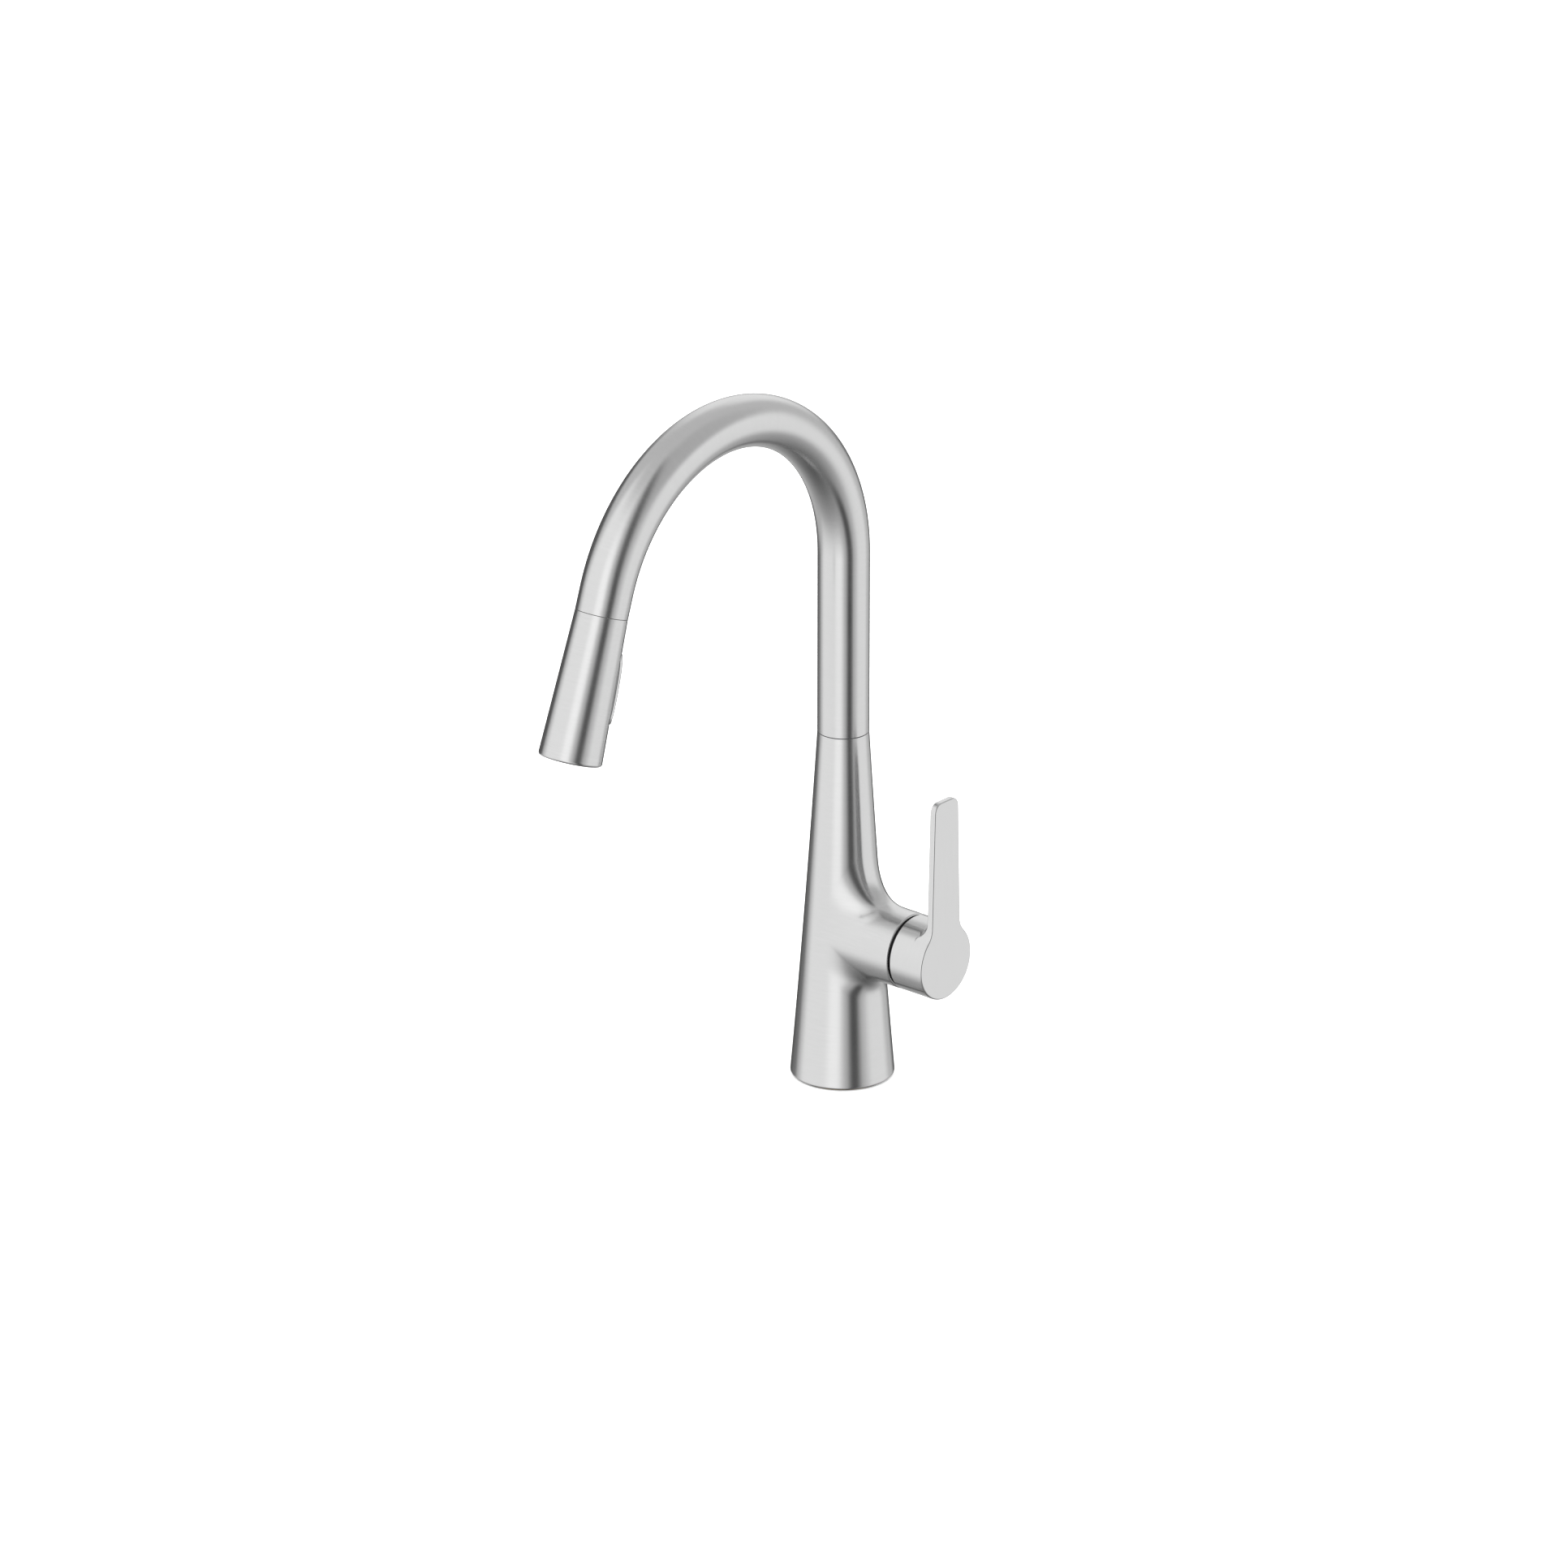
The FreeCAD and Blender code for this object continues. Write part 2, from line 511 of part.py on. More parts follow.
# pull-out hose, held along the spout's axis from under the shank to the head
bent_tube("pullout_hose", "hose_radius", "hose_bore_radius", "hose_low", "-(sleeve_top+hose_nut_length+0.6)+spout_tail")
b = turned("hose_coupling", [("0", "0"), ("coupling_radius-1.5", "0"), ("coupling_radius-1.5", "9"), ("coupling_radius", "9"), ("coupling_radius", "coupling_length"), ("0", "coupling_length")])
place_z(b, "hose_low-coupling_length")

# ------------------------------------------------------- dock in the spout end
b = turned("dock_collar", [("sleeve_top_radius+collar_clear", "0"), ("tube_radius-tube_wall-0.15", "0"), ("tube_radius-tube_wall-0.15", "sleeve_top-0.6"),
                           ("sleeve_low_radius+collar_clear", "sleeve_top-0.6")])
on_head(b, "-sleeve_top")
b = turned("dock_magnet", [("hose_nut_radius+0.9", "0"), ("tube_radius-tube_wall-0.6", "0"), ("tube_radius-tube_wall-0.6", "magnet_thick"), ("hose_nut_radius+0.9", "magnet_thick")])
on_head(b, "-sleeve_top-magnet_thick-0.1")
doc.recompute()

# ------------------------------------------------------------------ spray head
# outer shell: a long taper with a rounded lower edge and a slot for the button
b = new_body("head_shell")
revolve(b, [("neck_radius-head_wall", "head_gap"), ("neck_radius", "head_gap"), ("head_radius", "head_length-head_edge_round"),
            ("head_radius-head_edge_round", "head_length"), ("head_radius-2.4", "head_length"),
            ("head_radius-head_wall-0.3", "head_length-1.5"), ("head_radius-head_wall-0.3", "head_length-8")], {2: ("head_edge_round", 1)}, name="Taper")
doc.recompute()


def pill(body, name, width, length, mid, depth_from):
    """Long rounded outline facing the column (local -Y)."""
    sk = sketch_on(body, "XZ_Plane", name)
    w, l, m = sheet_value(width), sheet_value(length), sheet_value(mid)
    r = w / 2
    lo, hi = m - l / 2 + r, m + l / 2 - r
    import math
    sk.addGeometry(Part.LineSegment(Vector(r, lo, 0), Vector(r, hi, 0)), False)
    sk.addGeometry(Part.ArcOfCircle(Part.Circle(Vector(0, hi, 0), Vector(0, 0, 1), r), 0, math.pi), False)
    sk.addGeometry(Part.LineSegment(Vector(-r, hi, 0), Vector(-r, lo, 0)), False)
    sk.addGeometry(Part.ArcOfCircle(Part.Circle(Vector(0, lo, 0), Vector(0, 0, 1), r), math.pi, 2 * math.pi), False)
    C = Sketcher.Constraint
    for a, c in ((0, 1), (1, 2), (2, 3), (3, 0)):
        sk.addConstraint(C("Tangent", a, 2, c, 1))
    sk.addConstraint(C("PointOnObject", 1, 3, -2))
    sk.addConstraint(C("Vertical", 0))
    k = sk.addConstraint(C("Radius", 1, r)); sk.setExpression("Constraints[%d]" % k, "(" + E(width) + ")/2")
    k = sk.addConstraint(C("DistanceY", -1, 1, 1, 3, hi)); sk.setExpression("Constraints[%d]" % k, E(mid) + "+(" + E(length) + ")/2-(" + E(width) + ")/2")
    k = sk.addConstraint(C("DistanceY", -1, 1, 3, 3, lo)); sk.setExpression("Constraints[%d]" % k, E(mid) + "-(" + E(length) + ")/2+(" + E(width) + ")/2")
    if depth_from:
        # the XZ plane's normal is -Y, so the offset runs towards the column side
        sk.AttachmentOffset = FreeCAD.Placement(Vector(0, 0, sheet_value(depth_from)), FreeCAD.Rotation())
        sk.setExpression("AttachmentOffset.Base.z", "(" + E(depth_from) + ")*1mm")
    return sk


sk = pill(b, "ButtonSlot", "button_width+2*button_clear", "button_length+3*button_clear", "button_mid", "button_inner")
pocket(b, sk, "button_inner+8", True)
on_head(b)

# dock sleeve with the flange that carries the shell
b = turned("dock_sleeve", [("4.6", "0"), ("sleeve_top_radius", "0"), ("sleeve_low_radius-0.1", "sleeve_top-0.2"), ("sleeve_low_radius-0.1", "sleeve_top+3"), ("4.6", "sleeve_top+3")])
on_head(b, "-sleeve_top")
b = turned("hose_nut", [("hose_bore_radius", "0"), ("hose_nut_radius", "0"), ("hose_nut_radius", "hose_nut_length-0.1"), ("hose_bore_radius", "hose_nut_length-0.1")])
on_head(b, "-sleeve_top-hose_nut_length")
b = turned("check_valve", [("1.4", "0"), ("4.3", "0"), ("4.3", "11"), ("1.4", "11")])
on_head(b, "-sleeve_top+2.5")
# inner body with the diverter bore and the button's pocket
b = new_body("head_core")
revolve(b, [("core_bore", "3.1"), ("neck_radius-head_wall-0.6", "3.1"), ("head_radius-head_wall-1.1", "head_length-10"), ("core_bore", "head_length-10")], name="Core")
doc.recompute()
sk = pill(b, "ButtonPocket", "button_width+2*button_clear", "button_length+3*button_clear", "button_mid", "button_inner-2.2")
pocket(b, sk, "20", True)
sk = circle_sketch(b, "XZ_Plane", "NibHole", [("0", "button_mid", "1.9")], "core_bore-1")
pocket(b, sk, "10", True)
on_head(b)
# rocker: a pill whose outer face follows the head's taper, standing proud of it
b = new_body("rocker_blank")
parts.pop()
sk = pill(b, "Outline", "button_width", "button_length", "button_mid", "button_inner")
pad(b, sk, "12")
sk = circle_sketch(b, "XZ_Plane", "Nib", [("0", "button_mid", "1.3")], "button_inner-6")
pad(b, sk, "7")
doc.recompute()
cone = doc.addObject("Part::Cone", "RockerLimit")
cone.setExpression("Radius1", "(Params.neck_radius+Params.button_proud)*1mm")
cone.setExpression("Radius2", "(Params.head_radius+Params.button_proud)*1mm")
cone.setExpression("Height", "Params.head_length*1mm")
common = doc.addObject("Part::Common", "RockerBody")
common.Base, common.Tool = b, cone
doc.recompute()
rnd = doc.addObject("Part::Fillet", "RockerRound")
rnd.Base = common
edges = []
for i, e in enumerate(common.Shape.Edges):
    ys = [v.Point.y for v in e.Vertexes]
    if ys and max(ys) < -12 and e.BoundBox.YLength < 3.0:
        edges.append((i + 1, 1.2, 1.2))
rnd.Edges = edges
doc.recompute()
if rnd.Shape.isNull() or not rnd.Shape.isValid():
    raise SystemExit("rocker rounding failed")
pinhole = new_body("RockerPinHole")
parts.pop()
sk = circle_sketch(pinhole, "YZ_Plane", "Hole", [("-button_pivot", "button_mid", "pin_radius+0.05")])
pad(pinhole, sk, "20", symmetric=True)
rock = cut("spray_button", rnd, pinhole)
rock.Label = "spray_button"
parts.append(rock)
on_head(rock)
b = new_body("button_pin")
sk = circle_sketch(b, "YZ_Plane", "Pin", [("-button_pivot", "button_mid", "pin_radius")])
pad(b, sk, "button_width+2*button_clear-0.1", symmetric=True)
on_head(b)
# diverter spool, worked by the rocker's nib
b = turned("diverter_spool", [("0", "0"), ("spool_radius", "0"), ("spool_radius", "spool_length/2-1.65"), ("2.5", "spool_length/2-1.65"),
                              ("2.5", "spool_length/2+1.65"), ("spool_radius", "spool_length/2+1.65"), ("spool_radius", "spool_length"), ("0", "spool_length")])
on_head(b, "button_mid-spool_length/2")
# face plate, aerator, seal and the ring of soft nozzles
b = turned("spray_face", [("aerator_radius+0.05", "0"), ("head_radius-head_wall-0.55", "0"), ("head_radius-head_wall-0.55", "face_thick"), ("aerator_radius+0.05", "face_thick")])
on_head(b, "head_length-face_depth-face_thick")
b = turned("face_seal", [("head_radius-head_wall-2.2", "0"), ("head_radius-head_wall-0.5", "0"), ("head_radius-head_wall-0.5", "1.6"), ("head_radius-head_wall-2.2", "1.6")])
on_head(b, "head_length-face_depth-face_thick-1.7")
b = turned("aerator", [("0", "0"), ("aerator_radius", "0"), ("aerator_radius", "8.4"), ("aerator_radius-1.0", "8.4"), ("aerator_radius-1.0", "7.6"), ("0", "7.6")])
on_head(b, "head_length-face_depth-8.6")
tips = []
import math
for ring, count in (("nozzle_circle_a", 12), ("nozzle_circle_b", 18)):
    for k in range(count):
        c = doc.addObject("Part::Cone", "Nozzle_%s_%d" % (ring[-1], k))
        c.setExpression("Radius1", "Params.nozzle_radius*1mm")
        c.setExpression("Radius2", "Params.nozzle_radius*0.62*1mm")
        c.setExpression("Height", "Params.nozzle_length*1mm")
        a = 360.0 * k / count
        c.setExpression("Placement.Base.x", "Params.%s*cos(%.3fdeg)*1mm" % (ring, a))
        c.setExpression("Placement.Base.y", "Params.%s*sin(%.3fdeg)*1mm" % (ring, a))
        c.setExpression("Placement.Base.z", "(Params.head_length-Params.face_depth+0.02)*1mm")
        tips.append(c)
on_head(group("spray_nozzles", tips))

# ------------------------------------------------------------------- cartridge
b = turned("cartridge_base", [("0", "0"), ("cart_radius", "0"), ("cart_radius", "cart_base_thick-0.05"), ("0", "cart_base_thick-0.05")])
doc.recompute()
sk = circle_sketch(b, "XY_Plane", "Ports", [("6", "port_circle*0.94", "channel_radius"), ("6", "port_circle*-0.94", "channel_radius"), ("11", "0", "channel_radius")])
pocket(b, sk, "cart_base_thick", True)
on_boss(b)
b.setExpression("Placement.Base.x", "(Params.seat_face+0.7)*1mm")
seals = []
for i, (zz, yy) in enumerate((("-6", "port_circle*0.94"), ("-6", "port_circle*-0.94"), ("-11.5", "0"))):
    o1 = part_cyl("SealOut%d" % i, "channel_radius+1.3", "0.6", ("seat_face+0.05", yy, "boss_height" + zz), BOSS_ROT)
    o2 = part_cyl("SealIn%d" % i, "channel_radius+0.2", "0.6", ("seat_face+0.05", yy, "boss_height" + zz), BOSS_ROT)
    seals.append(cut("Seal%d" % i, o1, o2))
group("seat_seals", seals)
b = turned("fixed_disc", [("0", "0"), ("disc_radius", "0"), ("disc_radius", "fixed_disc_thick-0.05"), ("0", "fixed_disc_thick-0.05")])
doc.recompute()
sk = circle_sketch(b, "XY_Plane", "Ports", [("6", "port_circle*0.94", "channel_radius"), ("6", "port_circle*-0.94", "channel_radius"), ("11", "0", "channel_radius")])
pocket(b, sk, "fixed_disc_thick", True)
on_boss(b)
b.setExpression("Placement.Base.x", "(Params.seat_face+0.7+Params.cart_base_thick)*1mm")
# shell of the cartridge: a cup open towards the seat, with the rotor's neck through its end
b = turned("cartridge_housing", [("cart_inner", "0"), ("cart_radius", "0"), ("cart_radius", "cart_end-seat_face-0.7-cart_base_thick"),
                                 ("rotor_neck+0.3", "cart_end-seat_face-0.7-cart_base_thick"), ("rotor_neck+0.3", "cart_end-seat_face-0.7-cart_base_thick-2.5"),
                                 ("cart_inner", "cart_end-seat_face-0.7-cart_base_thick-2.5")])
on_boss(b)
b.setExpression("Placement.Base.x", "(Params.seat_face+0.7+Params.cart_base_thick)*1mm")
# sliding ceramic disc with its carrier's pocket for the stem's tip
b = turned("moving_disc", [("0", "0"), ("moving_disc_radius", "0"), ("moving_disc_radius", "moving_disc_thick"), ("0", "moving_disc_thick")])
doc.recompute()
sk = circle_sketch(b, "XY_Plane", "Pocket", [("0", "0", "stem_tip_radius+1.5")], "moving_disc_thick")
pocket(b, sk, "3")
on_boss(b)
b.setExpression("Placement.Base.x", "(Params.seat_face+0.7+Params.cart_base_thick+Params.fixed_disc_thick)*1mm")
# rotor: turns with the lever for temperature and carries the stem's pin
b = turned("rotor", [("0", "0"), ("rotor_radius", "0"), ("rotor_radius", "cart_end-2.8-rotor_low"), ("rotor_neck", "cart_end-2.8-rotor_low"),
                     ("rotor_neck", "rotor_top-rotor_low"), ("0", "rotor_top-rotor_low")])
doc.recompute()
sk = sketch_on(b, "YZ_Plane", "StemSlot")
polygon(sk, [("stem_width/2+0.3", "-1"), ("stem_width/2+0.3", "rotor_top-rotor_low+1"), ("stem_width*-0.5-0.3", "rotor_top-rotor_low+1"), ("stem_width*-0.5-0.3", "-1")])
f = body_slot = b.newObject("PartDesign::Pocket", "StemSlotCut")
f.Profile = sk
f.Length = 17.4
f.Midplane = True
doc.recompute()
sk = circle_sketch(b, "XZ_Plane", "PinHole", [("0", "lift_pivot-rotor_low", "1.55")], "-20")
pocket(b, sk, "40", True)
on_boss(b)
b.setExpression("Placement.Base.x", "Params.rotor_low*1mm")
b = new_body("pivot_pin")
sk = circle_sketch(b, "XZ_Plane", "Pin", [("lift_pivot", "boss_height", "1.5")])
pad(b, sk, "24", symmetric=True)
b = turned("bonnet_nut", [("bonnet_bore", "0"), ("cart_radius", "0"), ("cart_radius", "bonnet_high-bonnet_low"), ("bonnet_bore", "bonnet_high-bonnet_low")])
on_boss(b)
b.setExpression("Placement.Base.x", "Params.bonnet_low*1mm")
b = turned("boss_trim_ring", [("bonnet_bore+1.2", "0"), ("cartridge_bore_radius-0.05", "0"),
                             ("cartridge_bore_radius-0.05", "trim_step-bonnet_high-0.05"),
                             ("trim_lip_radius", "trim_step-bonnet_high-0.05"),
                             ("trim_lip_radius", "trim_high-bonnet_high-0.05"),
                             ("trim_lip_bore", "trim_high-bonnet_high-0.05"),
                             ("trim_lip_bore", "trim_step-bonnet_high-0.05"),
                             ("bonnet_bore+1.2", "trim_step-bonnet_high-0.05")])
on_boss(b)
b.setExpression("Placement.Base.x", "(Params.bonnet_high+0.05)*1mm")

# ------------------------------------------------------------ stem and handle
# the stem's square shaft tapers at its pivot end to the round tip in the disc
b = new_body("stem")
sk = sketch_on(b, "XZ_Plane", "Side")
polygon(sk, [("stem_tip", "boss_height-stem_tip_radius"), ("lift_pivot-6", "boss_height-stem_tip_radius"), ("lift_pivot-3.5", "boss_height-stem_width/2"),
             ("stem_top", "boss_height-stem_width/2"), ("stem_top", "boss_height+stem_width/2"), ("lift_pivot-3.5", "boss_height+stem_width/2"),
             ("lift_pivot-6", "boss_height+stem_tip_radius"), ("stem_tip", "boss_height+stem_tip_radius")])
pad(b, sk, "stem_width", symmetric=True)
sk = sketch_on(b, "XY_Plane", "TipSides")
polygon(sk, [("stem_tip-1", "stem_tip_radius"), ("lift_pivot-7", "stem_tip_radius"), ("lift_pivot-5", "stem_width"), ("stem_tip-1", "stem_width")])
f = b.newObject("PartDesign::Pocket", "TipSideA")
f.Profile = sk
f.Length = 400
f.Midplane = True
doc.recompute()
sk = sketch_on(b, "XY_Plane", "TipSidesB")
polygon(sk, [("stem_tip-1", "-stem_tip_radius"), ("lift_pivot-7", "-stem_tip_radius"), ("lift_pivot-5", "-stem_width"), ("stem_tip-1", "-stem_width")])
f = b.newObject("PartDesign::Pocket", "TipSideB")
f.Profile = sk
f.Length = 400
f.Midplane = True
doc.recompute()
sk = circle_sketch(b, "XZ_Plane", "PinHole", [("lift_pivot", "boss_height", "1.55")], "-20")
pocket(b, sk, "40", True)

# one casting: hollow hub, socket for the stem, flat blade and the cove behind it.
# Its own Z runs along the boss axis; the blade rises along its own -X.
b = new_body("handle")
sk = circle_sketch(b, "XY_Plane", "Hub", [("0", "0", "hub_radius")], "hub_low")
pad(b, sk, "hub_high-hub_low")
sk = sketch_on(b, "XY_Plane", "Blade")
polygon(sk, [("0", "blade_half_low"), ("-blade_rise", "blade_half_top"), ("-blade_rise", "-blade_half_top"), ("0", "-blade_half_low")])
sk.AttachmentOffset = FreeCAD.Placement(Vector(0, 0, names["hub_low"]), FreeCAD.Rotation())
sk.setExpression("AttachmentOffset.Base.z", "Params.hub_low*1mm")
pad(b, sk, "hub_high-hub_low")
doc.recompute()


def edges_where(body, test):
    return ["Edge%d" % (i + 1) for i, e in enumerate(body.Tip.Shape.Edges) if test(e)]


def near(a, b, tol=0.05):
    return abs(a - b) < tol


full = names["hub_high"] - names["hub_low"]
# hollow curves where the blade's sides meet the hub, then the rounded top corners
side = edges_where(b, lambda e: near(e.BoundBox.ZLength, full) and e.BoundBox.XLength < 0.05 and -19 < e.BoundBox.XMin < -12 and abs(e.BoundBox.YMin) > 8)
dress(b, "Fillet", "BladeBlend", side, "Radius", "blade_blend")
top = edges_where(b, lambda e: near(e.BoundBox.ZLength, full) and near(e.BoundBox.XMin, -names["blade_rise"]) and near(e.BoundBox.XMax, -names["blade_rise"]))
dress(b, "Fillet", "BladeCorners", top, "Radius", "blade_corner")
# everything behind the blade outside the hub is turned away, leaving a cove
groove(b, [("hub_radius", "hub_low-1"), ("blade_rise+20", "hub_low-1"), ("blade_rise+20", "hub_high-blade_thick"),
           ("hub_radius+cove_radius", "hub_high-blade_thick"), ("hub_radius", "hub_high-blade_thick-cove_radius")],
       {3: ("cove_radius", 1)}, name="BladeBack")
doc.recompute()
# hollow inside the hub, leaving the socket standing
sk = circle_sketch(b, "XY_Plane", "HubInside", [("0", "0", "hub_inner"), ("0", "0", "socket_radius")], "hub_low")
pocket(b, sk, "hub_floor-hub_low", True)
sk = circle_sketch(b, "XY_Plane", "SocketTrim", [("0", "0", "socket_radius+0.2")], "hub_low")
pocket(b, sk, "socket_low-hub_low", True)
sk = sketch_on(b, "XY_Plane", "SquareHole")
polygon(sk, [("stem_width/2+0.05", "stem_width*-0.5-0.05"), ("stem_width/2+0.05", "stem_width/2+0.05"),
             ("stem_width*-0.5-0.05", "stem_width/2+0.05"), ("stem_width*-0.5-0.05", "stem_width*-0.5-0.05")])
sk.AttachmentOffset = FreeCAD.Placement(Vector(0, 0, names["hub_low"]), FreeCAD.Rotation())
sk.setExpression("AttachmentOffset.Base.z", "Params.hub_low*1mm")
pocket(b, sk, "stem_top-hub_low+0.3", True)
# tapped hole for the grub screw, from underneath, with a wider mouth for the plug
sk = circle_sketch(b, "YZ_Plane", "GrubHole", [("0", "grub_x", "grub_radius+0.05")], "hub_radius+1")
pocket(b, sk, "hub_radius+1-stem_width/2")
sk = circle_sketch(b, "YZ_Plane", "PlugHole", [("0", "grub_x", "plug_radius+0.03")], "hub_radius+1")
pocket(b, sk, "2.6")
rim = edges_where(b, lambda e: near(e.BoundBox.ZMin, names["hub_low"]) and near(e.BoundBox.ZMax, names["hub_low"]) and near(getattr(e.Curve, "Radius", 0), names["hub_radius"]))
dress(b, "Chamfer", "HubRim", rim, "Size", "hub_edge_round")
on_boss(b)
b = turned("grub_screw", [("1.2", "0"), ("grub_radius", "0"), ("grub_radius", "grub_length"), ("0", "grub_length"), ("0", "3"), ("1.2", "3")])
b.setExpression("Placement.Base.x", "Params.grub_x*1mm")
place_z(b, "boss_height-stem_width/2-grub_length-0.1")
b = turned("screw_plug", [("0", "0"), ("plug_radius", "0"), ("plug_radius", "1.4"), ("0", "1.4")])
b.setExpression("Placement.Base.x", "Params.grub_x*1mm")
place_z(b, "boss_height-hub_radius+0.15")

# ----------------------------------------------------------- check, then write
doc.recompute()
bad = []
for o in doc.Objects:
    st = list(getattr(o, "State", []))
    if "Invalid" in st or "Error" in st:
        bad.append("%s %s" % (o.Name, st))
seen = set()
for p in parts:
    if p.Shape.isNull() or not p.Shape.isValid() or not p.Shape.Solids:
        bad.append("shape of " + p.Label)
    if p.Label in seen:
        bad.append("label twice " + p.Label)
    seen.add(p.Label)
if bad:
    raise SystemExit("failed: " + "; ".join(bad))
R, th = names["arch_radius"], math.radians(names["arch_angle"])
run = names["riser_top"] - names["body_height"] - names["seam_gap"] + R * th + names["spout_tail"]
ring = math.pi * (names["tube_radius"] ** 2 - (names["tube_radius"] - names["tube_wall"]) ** 2)
for p in parts:
    if p.Label == "spout_tube":
        print("spout tube volume %.0f, section times length %.0f" % (p.Shape.Volume, run * ring))
os.makedirs("parts", exist_ok=True)
for p in parts:
    p.Shape.exportStep("parts/" + p.Label + ".step")
    bb = p.Shape.BoundBox
    print("%-20s solids %2d  vol %9.0f  x %.1f..%.1f y %.1f..%.1f z %.1f..%.1f" % (
        p.Label, len(p.Shape.Solids), p.Shape.Volume, bb.XMin, bb.XMax, bb.YMin, bb.YMax, bb.ZMin, bb.ZMax))
print(len(parts), "parts")
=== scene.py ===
import math
import bpy
import bmesh
import numpy as np
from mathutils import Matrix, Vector


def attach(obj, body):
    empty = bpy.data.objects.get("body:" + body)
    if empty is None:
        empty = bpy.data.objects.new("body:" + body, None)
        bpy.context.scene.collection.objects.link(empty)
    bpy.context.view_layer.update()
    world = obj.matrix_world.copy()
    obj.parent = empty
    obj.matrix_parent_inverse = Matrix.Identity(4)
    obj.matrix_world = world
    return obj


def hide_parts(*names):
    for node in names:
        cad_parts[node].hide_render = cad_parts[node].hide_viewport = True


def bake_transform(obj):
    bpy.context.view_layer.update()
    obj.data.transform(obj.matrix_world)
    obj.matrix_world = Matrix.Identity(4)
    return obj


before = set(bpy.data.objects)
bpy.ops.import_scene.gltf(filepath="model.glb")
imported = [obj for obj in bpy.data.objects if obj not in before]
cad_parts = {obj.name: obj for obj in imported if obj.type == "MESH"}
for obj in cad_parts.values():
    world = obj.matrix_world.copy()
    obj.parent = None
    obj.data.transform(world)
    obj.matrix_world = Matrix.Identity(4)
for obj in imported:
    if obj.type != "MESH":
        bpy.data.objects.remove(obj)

scene = bpy.context.scene
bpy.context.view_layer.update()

# ------------------------------------------------------------------ camera
cam_data = bpy.data.cameras.new("Camera")
cam = bpy.data.objects.new("Camera", cam_data)
scene.collection.objects.link(cam)
scene.camera = cam
cam_data.sensor_width = 36.0
cam_data.lens = 206.23
cam_data.clip_start, cam_data.clip_end = 0.1, 50.0
cam.location = (2.89657563, -3.40240788, 1.96717124)
cam.rotation_mode = "QUATERNION"
cam.rotation_quaternion = Vector((-0.60629246, 0.70201155, -0.37361642)).to_track_quat("-Z", "Y")

# ------------------------------------------------------- sizes, millimetres
HUB_Z = 83.6                      # height of the lever axis
BODY_TOP = 198.6
BOSS_R, BOSS_END = 21.0, 48.8
TUBE_R, TUBE_WALL = 14.0, 1.3
RISER_TOP, ARCH_R, ARCH_DEG, TAIL = 300.35, 96.8, 161.0, 12.0
HUB_R, HUB_LOW, HUB_HIGH = 20.9, 50.5, 72.6
TH = math.radians(ARCH_DEG)
HEAD_AXIS = np.array([0.0, -math.sin(TH), math.cos(TH)])
HEAD_REAR = np.array([0.0, -math.cos(TH), -math.sin(TH)])      # towards the column
BT = math.radians(43.0)                       # the button faces round from there, towards +X
SEAM = np.array([0.0, -ARCH_R * (1 - math.cos(TH)) - TAIL * math.sin(TH),
                 RISER_TOP + ARCH_R * math.sin(TH) + TAIL * math.cos(TH)])
X, Y, Z = np.eye(3)
FACE = math.cos(BT) * HEAD_REAR + math.sin(BT) * X      # the way the button faces
SIDE = math.cos(BT) * X - math.sin(BT) * HEAD_REAR


def unit(a):
    a = np.asarray(a, float)
    n = np.linalg.norm(a, axis=-1, keepdims=True)
    return a / np.where(n < 1e-12, 1, n)


